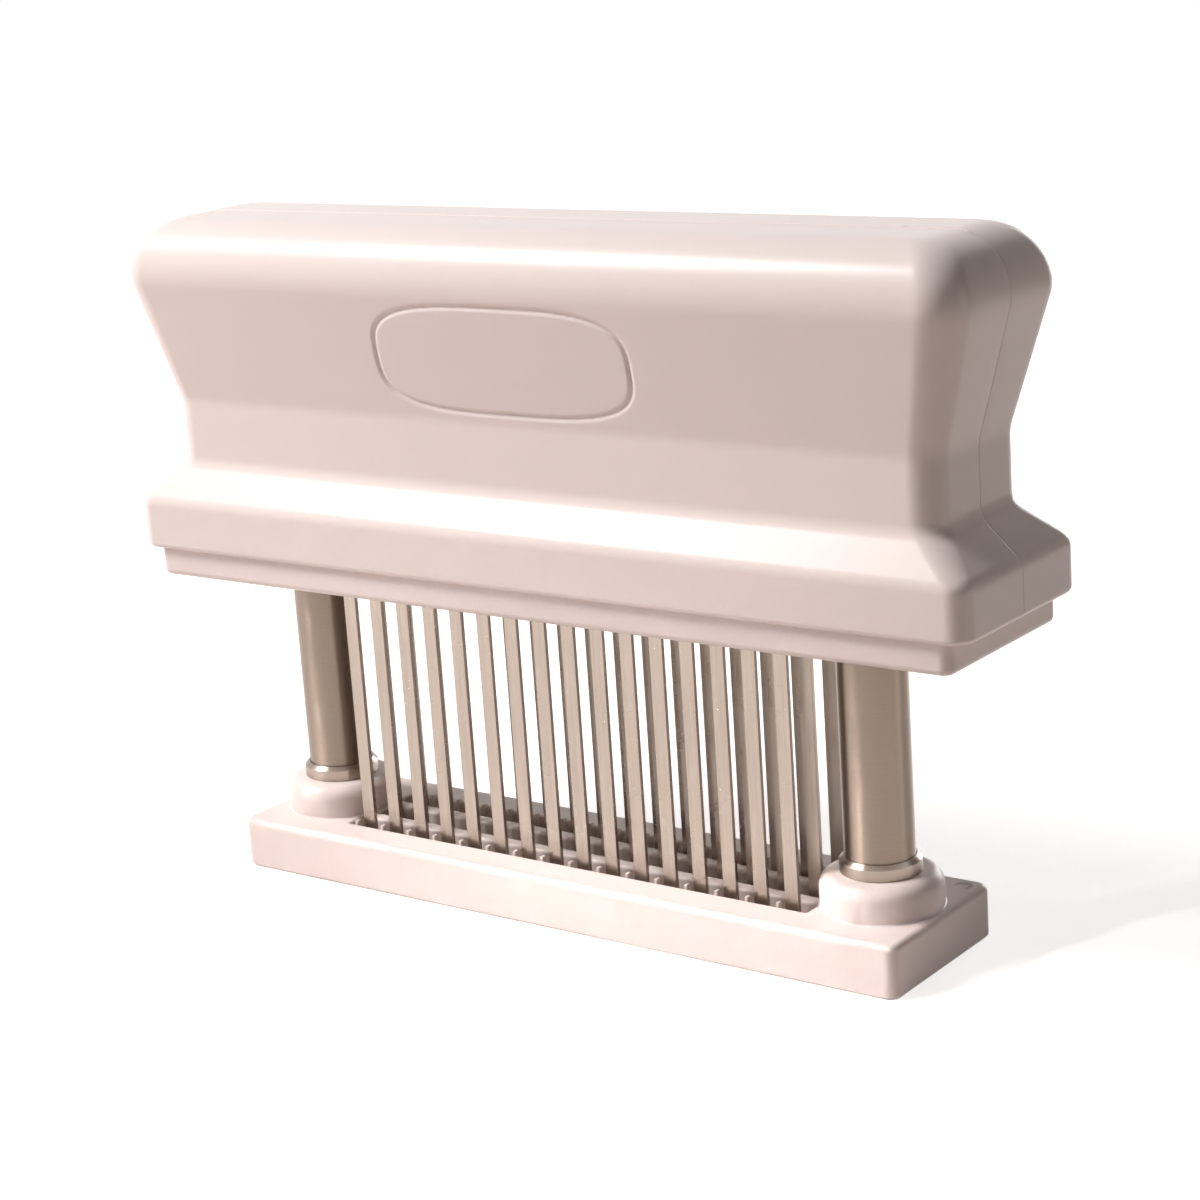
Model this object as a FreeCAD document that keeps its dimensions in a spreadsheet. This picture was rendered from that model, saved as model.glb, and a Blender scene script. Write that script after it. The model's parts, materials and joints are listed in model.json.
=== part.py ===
import FreeCAD, Part
import math
import os
import Sketcher

# Blade meat tenderizer: a head that carries three rows of thin blades slides down two columns
# that stand on a slotted base plate. Springs inside the columns push the head back up.
#
# Frame: millimetres, +X along the tool, +Y from front to back, +Z up. The origin is the middle
# of the base plate's underside. The head is drawn at rest, at the top of its travel.

PI = math.pi
TOUCH = 1e-4
Vector = FreeCAD.Vector
Constraint = Sketcher.Constraint

# ---------------------------------------------------------------- driving dimensions

SIZES = {
    # outline of the whole tool, which the rest is set in from
    "skirt_length": 146.0,
    "skirt_depth": 31.8,
    "column_inset": 23.3,
    # base plate and its two bosses
    "base_end": 9.8,
    "base_setback": 2.2,
    "base_height": 7.9,
    "base_corner": 2.0,
    "base_top_bevel": 0.8,
    "base_foot_bevel": 0.5,
    "boss_wall": 3.5,
    "boss_height": 5.1,
    "boss_bevel": 1.4,
    "boss_edge": 0.4,
    # grid in the base plate: one channel for each row of blades
    "channel_end": 3.1,
    "land_width": 2.3,
    "land_bevel": 0.5,
    "channel_floor": 2.9,
    "nib_width": 0.65,
    "nib_gap": 0.35,
    "base_slot_gap": 0.3,
    # columns, ferrules, foot plugs and their screws
    "column_radius": 4.9,
    "column_wall": 0.8,
    "column_seat": 4.0,
    "column_end": 2.0,
    "seat_gap": 0.05,
    "ferrule_wall": 0.9,
    "ferrule_side": 1.7,
    "ferrule_bevel": 0.6,
    "ferrule_edge": 0.15,
    "plug_length": 8.0,
    "plug_bore_depth": 6.5,
    "foot_head_radius": 3.5,
    "foot_head_height": 2.0,
    "foot_shank_radius": 1.95,
    "foot_shank_length": 7.0,
    "thread_gap": 0.05,
    "hole_gap": 0.2,
    "head_gap": 0.4,
    "head_sink": 0.5,
    # travel of the head, and what stops it at each end
    "travel": 31.5,
    "landing_gap": 0.27,
    "stop_gap": 0.2,
    "ring_reach": 1.6,
    "ring_thickness": 1.4,
    "ring_groove": 0.3,
    "ring_gap": 0.02,
    "ring_arc": 300.0,
    # guide bushes
    "bush_wall": 1.24,
    "bush_running_gap": 0.06,
    "bush_fit_gap": 0.03,
    "bush_recess": 0.6,
    "bush_flange_reach": 1.2,
    "bush_flange": 1.4,
    "guide_wall": 1.77,
    "guide_height": 4.0,
    # retainer plate
    "lip_inset_x": 2.8,
    "lip_inset_y": 1.0,
    "lip_height": 4.43,
    "lip_corner": 1.8,
    "lip_bevel": 0.7,
    "lip_seat": 1.2,
    "spigot_height": 2.5,
    "spigot_gap": 0.15,
    # housing, from the skirt up
    "skirt_height": 7.7,
    "skirt_corner": 3.0,
    "skirt_round": 1.5,
    "skirt_inside": 5.5,
    "shoulder_height": 5.55,
    "waist_inset_x": 5.9,
    "waist_inset_y": 4.1,
    "waist_height": 9.85,
    "waist_corner": 3.5,
    "waist_foot_round": 2.0,
    "waist_top_round": 8.0,
    # grip: a slope up to a rounded crown, whose round is centred this far in from the waist
    "grip_height": 19.5,
    "grip_lean": 14.0,
    "crown_inset_x": 2.9,
    "crown_inset_y": 4.5,
    "crown_round": 8.2,
    "crown_corner": 2.0,
    "grip_corner": 5.0,
    "wall": 2.4,
    # inside the housing
    "rib_thickness": 1.8,
    "rib_blades": 4,
    "post_gap": 0.25,
    "post_length": 12.0,
    "screw_boss_wall": 2.1,
    "screw_boss_height": 18.0,
    "cover_screw_inset": 11.0,
    "cover_head_radius": 3.0,
    "cover_head_height": 1.9,
    "cover_shank_radius": 1.5,
    "cover_shank_length": 15.0,
    "pilot_spare": 1.5,
    # blades, the carrier they hang in and the clamp plate over their heads
    "blades_per_row": 16,
    "blade_standoff": 10.8,
    "blade_width": 2.2,
    "blade_thickness": 0.7,
    "blade_head_width": 3.6,
    "blade_head_height": 1.6,
    "tip_height": 1.5,
    "tip_slant": 2.4,
    "tip_bevel": 0.28,
    "slot_gap": 0.15,
    "row_margin": 2.6,
    "carrier_end": 2.4,
    "carrier_gap": 0.6,
    "carrier_thickness": 6.0,
    "carrier_corner": 2.0,
    "clamp_thickness": 3.0,
    "clamp_screw_blades": 6,
    "clamp_head_radius": 2.1,
    "clamp_head_height": 1.5,
    "clamp_shank_radius": 1.25,
    "clamp_shank_length": 8.0,
    # springs
    "spring_wire": 0.5,
    "spring_gap": 0.65,
    "spring_turns": 12,
}
CROWN_STEPS = 5
SPRING_STEPS = 8
WIRE_SIDES = 4

document = FreeCAD.newDocument("blade_tenderizer")
sheet = document.addObject("Spreadsheet::Sheet", "Sizes")
for line, (alias, number) in enumerate(SIZES.items(), start=1):
    sheet.set("A%d" % line, alias)
    sheet.set("B%d" % line, str(number))
    sheet.setAlias("B%d" % line, alias)
document.recompute()


def size(formula):
    """Put the sheet's name before each size in a formula, for expressions."""
    words = sorted(SIZES, key=len, reverse=True)
    result = ""
    place = 0
    while place < len(formula):
        word = ""
        if place == 0 or not (formula[place - 1].isalnum() or formula[place - 1] in "_."):
            word = next((name for name in words if formula.startswith(name, place)), "")
        result += "Sizes." + word if word else formula[place]
        place += len(word) if word else 1
    return result


def value(formula):
    """Number that a formula of sizes gives now."""
    return float(sheet.evalExpression(size(formula)))


# heights above the base plate's underside, at rest
BOSS_TOP = "(base_height + boss_height)"
FERRULE_TOP = "(%s + ferrule_side + ferrule_bevel)" % BOSS_TOP
LIP_BOTTOM = "(%s + landing_gap + travel)" % FERRULE_TOP
SKIRT_BOTTOM = "(%s + lip_height)" % LIP_BOTTOM
SPIGOT_TOP = "(%s + spigot_height)" % SKIRT_BOTTOM
GUIDE_TOP = "(%s + guide_height)" % SPIGOT_TOP
BUSH_TOP = "(%s + bush_flange)" % GUIDE_TOP
RING_BOTTOM = "(%s + stop_gap)" % BUSH_TOP
RING_TOP = "(%s + ring_thickness)" % RING_BOTTOM
COLUMN_TOP = "(%s + column_end)" % RING_TOP
PLUG_TOP = "(column_seat + plug_length)"
CARRIER_TOP = "(%s + carrier_thickness)" % SPIGOT_TOP
CLAMP_BOTTOM = "(%s + blade_head_height)" % CARRIER_TOP
CLAMP_TOP = "(%s + clamp_thickness)" % CLAMP_BOTTOM
SKIRT_TOP = "(%s + skirt_height)" % SKIRT_BOTTOM
WAIST_BOTTOM = "(%s + shoulder_height)" % SKIRT_TOP
WAIST_TOP = "(%s + waist_height)" % WAIST_BOTTOM
CROWN_CENTRE = "(%s + grip_height)" % WAIST_TOP
CROWN_TOP = "(%s + crown_round)" % CROWN_CENTRE
CEILING = "(%s - wall)" % CROWN_TOP

# half lengths and half depths of the outlines, and places in plan
SKIRT_X, SKIRT_Y = "(skirt_length / 2)", "(skirt_depth / 2)"
LIP_X, LIP_Y = "(%s - lip_inset_x)" % SKIRT_X, "(%s - lip_inset_y)" % SKIRT_Y
WAIST_X, WAIST_Y = "(%s - waist_inset_x)" % SKIRT_X, "(%s - waist_inset_y)" % SKIRT_Y
MOUTH_X, MOUTH_Y = "(%s - lip_seat)" % LIP_X, "(%s - lip_seat)" % LIP_Y
INNER_CORNER = "(waist_corner - wall / 2)"
COLUMN_X = "(%s - column_inset)" % SKIRT_X
SCREW_X = "(%s - cover_screw_inset)" % SKIRT_X
BASE_X, BASE_Y = "(%s + base_end)" % COLUMN_X, "(%s - base_setback)" % SKIRT_Y
LAST_BLADE_X = "(%s - blade_standoff)" % COLUMN_X
FIRST_BLADE_X = "(-%s)" % LAST_BLADE_X
BLADE_PITCH = "(2 * %s / (blades_per_row - 1))" % LAST_BLADE_X
CARRIER_X, CARRIER_Y = "(%s + carrier_end)" % LAST_BLADE_X, "(%s - wall - carrier_gap)" % WAIST_Y
ROW_PITCH = "(%s - row_margin)" % CARRIER_Y
CHANNEL_X, CHANNEL_Y = "(%s + channel_end)" % LAST_BLADE_X, "((%s - land_width) / 2)" % ROW_PITCH
ROWS = (-1, 0, 1)

# radii round the columns
BORE = "(column_radius - column_wall)"
BUSH_BORE = "(column_radius + bush_running_gap)"
BUSH_RADIUS = "(%s + bush_wall)" % BUSH_BORE
SPRING_RADIUS = "(%s - spring_gap - spring_wire)" % BORE

# the cover screws' heads are sunk this far into the retainer plate
COVER_SEAT = "(%s + head_sink + cover_head_height)" % LIP_BOTTOM


# ---------------------------------------------------------------- sketches and features

def new_body(label):
    body = document.addObject("PartDesign::Body", label)
    body.Label = label
    body.AllowCompound = True
    return body


def origin_feature(body, role):
    return next(item for item in body.Origin.OriginFeatures if item.Role == role)


def new_sketch(body, name, plane="XY_Plane", offset="0"):
    sketch = body.newObject("Sketcher::SketchObject", name)
    sketch.AttachmentSupport = (origin_feature(body, plane), "")
    sketch.MapMode = "FlatFace"
    sketch.setExpression("AttachmentOffset.Base.z", size(offset))
    return sketch


def bind(sketch, kind, *places, formula):
    """Add a dimension to a sketch and tie it to a formula of sizes."""
    index = sketch.addConstraint(Constraint(kind, *places, value(formula)))
    sketch.setExpression("Constraints[%d]" % index, size(formula))


def place_point(sketch, geometry, point, x, y):
    """Hold a point of a sketch at x, y from its origin."""
    if x == "0":
        sketch.addConstraint(Constraint("PointOnObject", geometry, point, -2))
    else:
        bind(sketch, "DistanceX", -1, 1, geometry, point, formula=x)
    if y == "0":
        sketch.addConstraint(Constraint("PointOnObject", geometry, point, -1))
    else:
        bind(sketch, "DistanceY", -1, 1, geometry, point, formula=y)


def draw_polygon(sketch, corners):
    """Closed outline through corners given as pairs of formulas."""
    points = [Vector(value(x), value(y), 0) for x, y in corners]
    lines = []
    for start, end in zip(points, points[1:] + points[:1]):
        lines.append(sketch.addGeometry(Part.LineSegment(start, end), False))
    for line, following in zip(lines, lines[1:] + lines[:1]):
        sketch.addConstraint(Constraint("Coincident", line, 2, following, 1))
    for line, (x, y) in zip(lines, corners):
        place_point(sketch, line, 1, x, y)


def draw_rectangle(sketch, left, right, low, high):
    draw_polygon(sketch, [(left, low), (right, low), (right, high), (left, high)])


def draw_circle(sketch, x, y, radius):
    circle = Part.Circle(Vector(value(x), value(y), 0), Vector(0, 0, 1), value(radius))
    index = sketch.addGeometry(circle, False)
    place_point(sketch, index, 3, x, y)
    bind(sketch, "Radius", index, formula=radius)


def draw_rounded_rectangle(sketch, half_x, half_y, radius):
    """Rectangle about the origin whose corners are arcs."""
    a, b, corner = value(half_x), value(half_y), value(radius)
    x, y = a - corner, b - corner
    arcs = []
    for number, (cx, cy) in enumerate(((x, y), (-x, y), (-x, -y), (x, -y))):
        circle = Part.Circle(Vector(cx, cy, 0), Vector(0, 0, 1), corner)
        turn = number * PI / 2
        arcs.append(sketch.addGeometry(Part.ArcOfCircle(circle, turn, turn + PI / 2), False))
    sides = []
    for start, end in (((x, b), (-x, b)), ((-a, y), (-a, -y)), ((-x, -b), (x, -b)), ((a, -y), (a, y))):
        sides.append(sketch.addGeometry(Part.LineSegment(Vector(*start, 0), Vector(*end, 0)), False))
    for number in range(4):
        sketch.addConstraint(Constraint("Tangent", arcs[number], 2, sides[number], 1))
        sketch.addConstraint(Constraint("Tangent", sides[number], 2, arcs[(number + 1) % 4], 1))
    sketch.addConstraint(Constraint("Symmetric", arcs[0], 3, arcs[1], 3, -2))
    sketch.addConstraint(Constraint("Symmetric", arcs[0], 3, arcs[3], 3, -1))
    sketch.addConstraint(Constraint("Symmetric", arcs[0], 3, arcs[2], 3, -1, 1))
    for arc in arcs[1:]:
        sketch.addConstraint(Constraint("Equal", arcs[0], arc))
    bind(sketch, "Radius", arcs[0], formula=radius)
    bind(sketch, "DistanceX", -1, 1, arcs[0], 3, formula="%s - %s" % (half_x, radius))
    bind(sketch, "DistanceY", -1, 1, arcs[0], 3, formula="%s - %s" % (half_y, radius))


def extrude(body, kind, name, sketch, length, midplane=False, reverse=False):
    feature = body.newObject("PartDesign::" + kind, name)
    feature.Profile = sketch
    feature.setExpression("Length", size(length))
    feature.SideType = "Symmetric" if midplane else "One side"
    feature.Reversed = reverse
    return feature


def pad(body, name, sketch, length, **options):
    return extrude(body, "Pad", name, sketch, length, **options)


def pocket(body, name, sketch, length, **options):
    return extrude(body, "Pocket", name, sketch, length, **options)


def loft(body, kind, name, sections, ruled):
    feature = body.newObject("PartDesign::" + kind, name)
    feature.Profile = sections[0]
    feature.Sections = sections[1:]
    feature.Ruled = ruled
    return feature


def turn(body, name, outline, angle="360"):
    """Revolve an outline of (radius, height) pairs about the body's upright axis."""
    sketch = new_sketch(body, name + "_outline", "XZ_Plane")
    draw_polygon(sketch, outline)
    feature = body.newObject("PartDesign::Revolution", name)
    feature.Profile = sketch
    feature.ReferenceAxis = (sketch, ["V_Axis"])
    feature.setExpression("Angle", size(angle))
    return feature


def repeat(body, name, original, axis, count, length, whole=False):
    """Copy a feature, or the whole body so far, along one of the body's axes."""
    document.recompute()
    feature = body.newObject("PartDesign::LinearPattern", name)
    if whole:
        feature.TransformMode = "Whole shape"
    else:
        feature.Originals = original
    feature.Direction = (origin_feature(body, axis), [""])
    feature.setExpression("Length", size(length))
    feature.setExpression("Occurrences", size(count))
    body.Tip = feature
    return feature


def dress(body, kind, name, edges, amount):
    """Fillet or chamfer the edges of the body's tip that a test picks."""
    document.recompute()
    base = body.Tip
    names = ["Edge%d" % number for number, edge in enumerate(base.Shape.Edges, start=1) if edges(edge)]
    feature = body.newObject("PartDesign::" + kind, name)
    feature.Base = (base, names)
    feature.setExpression("Radius" if kind == "Fillet" else "Size", size(amount))
    return feature


def level_edges(height, reach="skirt_length"):
    """Test for edges that lie flat at a height and reach no further along X."""
    level, limit = value(height), value(reach) + TOUCH

    def test(edge):
        box = edge.BoundBox
        near = max(abs(box.XMin), abs(box.XMax)) < limit
        return near and abs(box.ZMin - level) < TOUCH and abs(box.ZMax - level) < TOUCH

    return test


def stand_at(body, x="0", y="0"):
    body.setExpression("Placement.Base.x", size(x))
    body.setExpression("Placement.Base.y", size(y))


def draw_blade_slots(sketch, gap):
    """One slot in each row for the first blade of the row."""
    for row in ROWS:
        middle = "%d * %s" % (row, ROW_PITCH)
        half = "(blade_thickness / 2 + %s)" % gap
        draw_rectangle(
            sketch,
            "%s - blade_width / 2 - %s" % (FIRST_BLADE_X, gap),
            "%s + blade_width / 2 + %s" % (FIRST_BLADE_X, gap),
            "%s - %s" % (middle, half),
            "%s + %s" % (middle, half),
        )


def cut_blade_slots(body, bottom, top, gap):
    """Slots through a plate for every blade."""
    sketch = new_sketch(body, "first_slots", offset=bottom)
    draw_blade_slots(sketch, gap)
    first = pocket(body, "first_slots_cut", sketch, "%s - %s" % (top, bottom), reverse=True)
    repeat(body, "blade_slots", [first], "X_Axis", "blades_per_row", "2 * " + LAST_BLADE_X)


# ---------------------------------------------------------------- base

def make_base_plate():
    """Slab with two bosses and a channel for each row of blades, slotted through its floor."""
    body = new_body("base_plate")
    outline = new_sketch(body, "slab_outline")
    draw_rounded_rectangle(outline, BASE_X, BASE_Y, "base_corner")
    pad(body, "slab", outline, "base_height")
    dress(body, "Chamfer", "slab_top_bevel", level_edges("base_height"), "base_top_bevel")
    dress(body, "Chamfer", "slab_foot_bevel", level_edges("0"), "base_foot_bevel")

    channels = new_sketch(body, "channel_outlines", offset="base_height")
    for row in ROWS:
        low = "%d * %s - %s" % (row, ROW_PITCH, CHANNEL_Y)
        high = "%d * %s + %s" % (row, ROW_PITCH, CHANNEL_Y)
        draw_rectangle(channels, "-" + CHANNEL_X, CHANNEL_X, low, high)
    pocket(body, "channels", channels, "base_height - channel_floor")
    dress(body, "Chamfer", "land_bevel", level_edges("base_height", reach=CHANNEL_X), "land_bevel")

    nibs = new_sketch(body, "nib_outlines", offset="channel_floor")
    left = "%s - nib_width / 2" % FIRST_BLADE_X
    right = "%s + nib_width / 2" % FIRST_BLADE_X
    near = "(blade_thickness / 2 + nib_gap)"
    for row in ROWS:
        middle = "%d * %s" % (row, ROW_PITCH)
        draw_rectangle(nibs, left, right, "%s + %s" % (middle, near), "%s + %s" % (middle, CHANNEL_Y))
        draw_rectangle(nibs, left, right, "%s - %s" % (middle, CHANNEL_Y), "%s - %s" % (middle, near))
    first = pad(body, "first_nibs", nibs, "base_height - land_bevel - channel_floor")
    repeat(body, "nibs", [first], "X_Axis", "blades_per_row", "2 * " + LAST_BLADE_X)
    cut_blade_slots(body, "0", "channel_floor", "base_slot_gap")

    bosses = new_sketch(body, "boss_outlines", offset="channel_floor")
    for side in (-1, 1):
        draw_circle(bosses, "%d * %s" % (side, COLUMN_X), "0", "column_radius + boss_wall")
    pad(body, "bosses", bosses, "%s - channel_floor" % BOSS_TOP)
    dress(body, "Chamfer", "boss_bevel", level_edges(BOSS_TOP), "boss_bevel")
    dress(body, "Chamfer", "boss_edge", level_edges(BOSS_TOP), "boss_edge")

    for name, bottom, top, radius in (
        ("column_socket", "column_seat", BOSS_TOP, "column_radius + seat_gap"),
        ("screw_hole", "0", "column_seat", "foot_shank_radius + hole_gap"),
        ("screw_sink", "0", "head_sink + foot_head_height", "foot_head_radius + head_gap"),
    ):
        sketch = new_sketch(body, name + "_outlines", offset=bottom)
        for side in (-1, 1):
            draw_circle(sketch, "%d * %s" % (side, COLUMN_X), "0", radius)
        pocket(body, name + "s", sketch, "%s - (%s)" % (top, bottom), reverse=True)


def make_column(label, side):
    """Thin steel tube with a groove near its top for the retaining ring."""
    body = new_body(label)
    groove = "column_radius - ring_groove"
    turn(body, "tube", [
        (BORE, "column_seat"),
        ("column_radius", "column_seat"),
        ("column_radius", RING_BOTTOM),
        (groove, RING_BOTTOM),
        (groove, RING_TOP),
        ("column_radius", RING_TOP),
        ("column_radius", COLUMN_TOP),
        (BORE, COLUMN_TOP),
    ])
    stand_at(body, "%d * %s" % (side, COLUMN_X))


def make_ferrule(label, side):
    """Bevelled steel ring that seats on the boss round the column."""
    body = new_body(label)
    bore = "column_radius + seat_gap"
    radius = "column_radius + ferrule_wall"
    turn(body, "ring", [
        (bore, BOSS_TOP),
        (radius, BOSS_TOP),
        (radius, "%s + ferrule_side" % BOSS_TOP),
        ("%s + ferrule_edge" % bore, FERRULE_TOP),
        (bore, FERRULE_TOP),
    ])
    stand_at(body, "%d * %s" % (side, COLUMN_X))


def make_foot_plug(label, side):
    """Plug in the column's foot: the spring stands on it and the column screw bites in it."""
    body = new_body(label)
    bore = "foot_shank_radius + thread_gap"
    radius = "%s - seat_gap" % BORE
    bore_end = "column_seat + plug_bore_depth"
    turn(body, "slug", [
        (bore, "column_seat"),
        (radius, "column_seat"),
        (radius, PLUG_TOP),
        ("0", PLUG_TOP),
        ("0", bore_end),
        (bore, bore_end),
    ])
    stand_at(body, "%d * %s" % (side, COLUMN_X))


def screw_outline(seat, head_radius, head_height, shank_radius, shank_length):
    """Pan head screw driven upwards: its head lies below the seat."""
    return [
        ("0", "%s - %s" % (seat, head_height)),
        (head_radius, "%s - %s" % (seat, head_height)),
        (head_radius, seat),
        (shank_radius, seat),
        (shank_radius, "%s + %s" % (seat, shank_length)),
        ("0", "%s + %s" % (seat, shank_length)),
    ]


def make_upward_screws(label, place, seat, kind):
    """Pair of screws driven upwards, one at each end."""
    body = new_body(label)
    names = [kind + part for part in ("_head_radius", "_head_height", "_shank_radius", "_shank_length")]
    turn(body, "screw", screw_outline(seat, *names))
    repeat(body, "pair", None, "X_Axis", "2", "2 * " + place, whole=True)
    stand_at(body, "-" + place)


def make_retaining_ring(label, side):
    """Open snap ring in the column's groove: the guide bush rises against it."""
    body = new_body(label)
    inner = "column_radius - ring_groove + ring_gap"
    turn(body, "ring", [
        (inner, RING_BOTTOM),
        ("column_radius + ring_reach", RING_BOTTOM),
        ("column_radius + ring_reach", RING_TOP),
        (inner, RING_TOP),
    ], angle="ring_arc")
    stand_at(body, "%d * %s" % (side, COLUMN_X))


def make_spring(label, side):
    """Long compression spring from the foot plug to the housing's ceiling, its wire drawn with flats."""
    wire, radius, turns = value("spring_wire"), value(SPRING_RADIUS), int(value("spring_turns"))
    low, high = value("%s + spring_wire" % PLUG_TOP), value("%s - spring_wire" % CEILING)
    steps = turns * SPRING_STEPS
    points = []
    for step in range(steps + 1):
        angle = 2 * PI * step / SPRING_STEPS
        height = low + (high - low) * step / steps
        points.append(Vector(radius * math.cos(angle), radius * math.sin(angle), height))
    ahead = (points[1] - points[0]).normalize()
    across = ahead.cross(Vector(0, 0, 1)).normalize()
    above = across.cross(ahead)
    section = []
    for corner in range(WIRE_SIDES + 1):
        angle = 2 * PI * corner / WIRE_SIDES
        section.append(points[0] + across * (wire * math.cos(angle)) + above * (wire * math.sin(angle)))
    path = Part.makePolygon(points)
    mitred = 1
    feature = document.addObject("Part::Feature", label)
    feature.Label = label
    feature.Shape = path.makePipeShell([Part.makePolygon(section)], True, False, mitred)
    feature.Placement.Base = Vector(side * value(COLUMN_X), 0, 0)


# ---------------------------------------------------------------- head

def ring_section(body, name, height, half_x, half_y, corner):
    sketch = new_sketch(body, name, offset=height)
    draw_rounded_rectangle(sketch, half_x, half_y, corner)
    return sketch


def crown_place(step, inset):
    """Half length, half depth and height on the crown's round, an inset below the surface."""
    angle = "((90 + grip_lean) * %d / %d - grip_lean)" % (step, CROWN_STEPS)
    radius = "(crown_round - %s)" % inset
    reach = "%s * cos(%s * 1 deg)" % (radius, angle)
    half_x = "(%s - crown_inset_x + %s)" % (WAIST_X, reach)
    half_y = "(%s - crown_inset_y + %s)" % (WAIST_Y, reach)
    return half_x, half_y, "(%s + %s * sin(%s * 1 deg))" % (CROWN_CENTRE, radius, angle)


def add_grip(body, kind, prefix, inset):
    """Slope that leans out from the waist, and the crown's round laid in flats above it."""
    waist_x, waist_y = "(%s - %s)" % (WAIST_X, inset), "(%s - %s)" % (WAIST_Y, inset)
    corner = "(waist_corner - %s / 2)" % inset
    sections = [ring_section(body, prefix + "_waist_edge", WAIST_TOP, waist_x, waist_y, corner)]
    for step in range(CROWN_STEPS + 1):
        half_x, half_y, height = crown_place(step, inset)
        share = "(%d / %d)" % (step, CROWN_STEPS)
        corner = "(grip_corner - %s / 2 + (crown_corner - grip_corner + %s / 2) * %s)" % (inset, inset, share)
        sections.append(ring_section(body, "%s_crown_%d" % (prefix, step), height, half_x, half_y, corner))
    return loft(body, kind, prefix + "_grip", sections, ruled=True)


def make_housing():
    """Hollow moulded cover: skirt, shoulder, waist and a grip that bulges out to a rounded crown."""
    body = new_body("housing")
    skirt = ring_section(body, "skirt_outline", SKIRT_BOTTOM, SKIRT_X, SKIRT_Y, "skirt_corner")
    pad(body, "skirt", skirt, "skirt_height")
    foot = ring_section(body, "shoulder_foot", SKIRT_TOP, SKIRT_X, SKIRT_Y, "skirt_corner")
    head = ring_section(body, "shoulder_head", WAIST_BOTTOM, WAIST_X, WAIST_Y, "waist_corner")
    loft(body, "AdditiveLoft", "shoulder", [foot, head], ruled=True)
    waist = ring_section(body, "waist_outline", WAIST_BOTTOM, WAIST_X, WAIST_Y, "waist_corner")
    pad(body, "waist", waist, "waist_height")
    add_grip(body, "AdditiveLoft", "outer", "0")
    dress(body, "Fillet", "skirt_round", level_edges(SKIRT_TOP), "skirt_round")
    dress(body, "Fillet", "waist_foot_round", level_edges(WAIST_BOTTOM), "waist_foot_round")
    dress(body, "Fillet", "waist_top_round", level_edges(WAIST_TOP), "waist_top_round")

    inner_x, inner_y = "(%s - wall)" % WAIST_X, "(%s - wall)" % WAIST_Y
    step = "(%s + skirt_inside)" % SKIRT_BOTTOM
    inner_bottom = "(%s - wall)" % WAIST_BOTTOM
    mouth = ring_section(body, "mouth", SKIRT_BOTTOM, MOUTH_X, MOUTH_Y, INNER_CORNER)
    pocket(body, "mouth_cut", mouth, "skirt_inside", reverse=True)
    low = ring_section(body, "inner_shoulder_foot", step, MOUTH_X, MOUTH_Y, INNER_CORNER)
    high = ring_section(body, "inner_shoulder_head", inner_bottom, inner_x, inner_y, INNER_CORNER)
    loft(body, "SubtractiveLoft", "inner_shoulder", [low, high], ruled=True)
    inner = ring_section(body, "inner_waist_outline", inner_bottom, inner_x, inner_y, INNER_CORNER)
    pocket(body, "inner_waist", inner, "waist_height + wall", reverse=True)
    add_grip(body, "SubtractiveLoft", "inner", "wall")

    add_ribs(body)
    posts = new_sketch(body, "post_outlines", offset="%s - post_length" % CEILING)
    bosses = new_sketch(body, "screw_boss_outlines", offset=SPIGOT_TOP)
    pilots = new_sketch(body, "pilot_outlines", offset=SPIGOT_TOP)
    for side in (-1, 1):
        post_radius = "%s - spring_wire - post_gap" % SPRING_RADIUS
        draw_circle(posts, "%d * %s" % (side, COLUMN_X), "0", post_radius)
        draw_circle(bosses, "%d * %s" % (side, SCREW_X), "0", "cover_shank_radius + screw_boss_wall")
        draw_circle(pilots, "%d * %s" % (side, SCREW_X), "0", "cover_shank_radius + thread_gap")
    pad(body, "posts", posts, "post_length + wall / 2")
    pad(body, "screw_bosses", bosses, "screw_boss_height")
    reach = "%s + cover_shank_length + pilot_spare - %s" % (COVER_SEAT, SPIGOT_TOP)
    pocket(body, "pilots", pilots, reach, reverse=True)


def add_ribs(body):
    """Cross ribs that stiffen the grip and bear down on the clamp plate."""
    waist_y = "(%s - wall / 2)" % WAIST_Y
    right = [(waist_y, CLAMP_TOP), (waist_y, WAIST_TOP)]
    for step in range(CROWN_STEPS + 1):
        right.append(crown_place(step, "wall / 2")[1:])
    left = [("-" + y, z) for y, z in reversed(right)]
    sketch = new_sketch(body, "rib_outline", "YZ_Plane", "-rib_blades * " + BLADE_PITCH)
    draw_polygon(sketch, right + left)
    rib = pad(body, "first_rib", sketch, "rib_thickness", midplane=True)
    repeat(body, "ribs", [rib], "X_Axis", "3", "2 * rib_blades * " + BLADE_PITCH)


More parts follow.
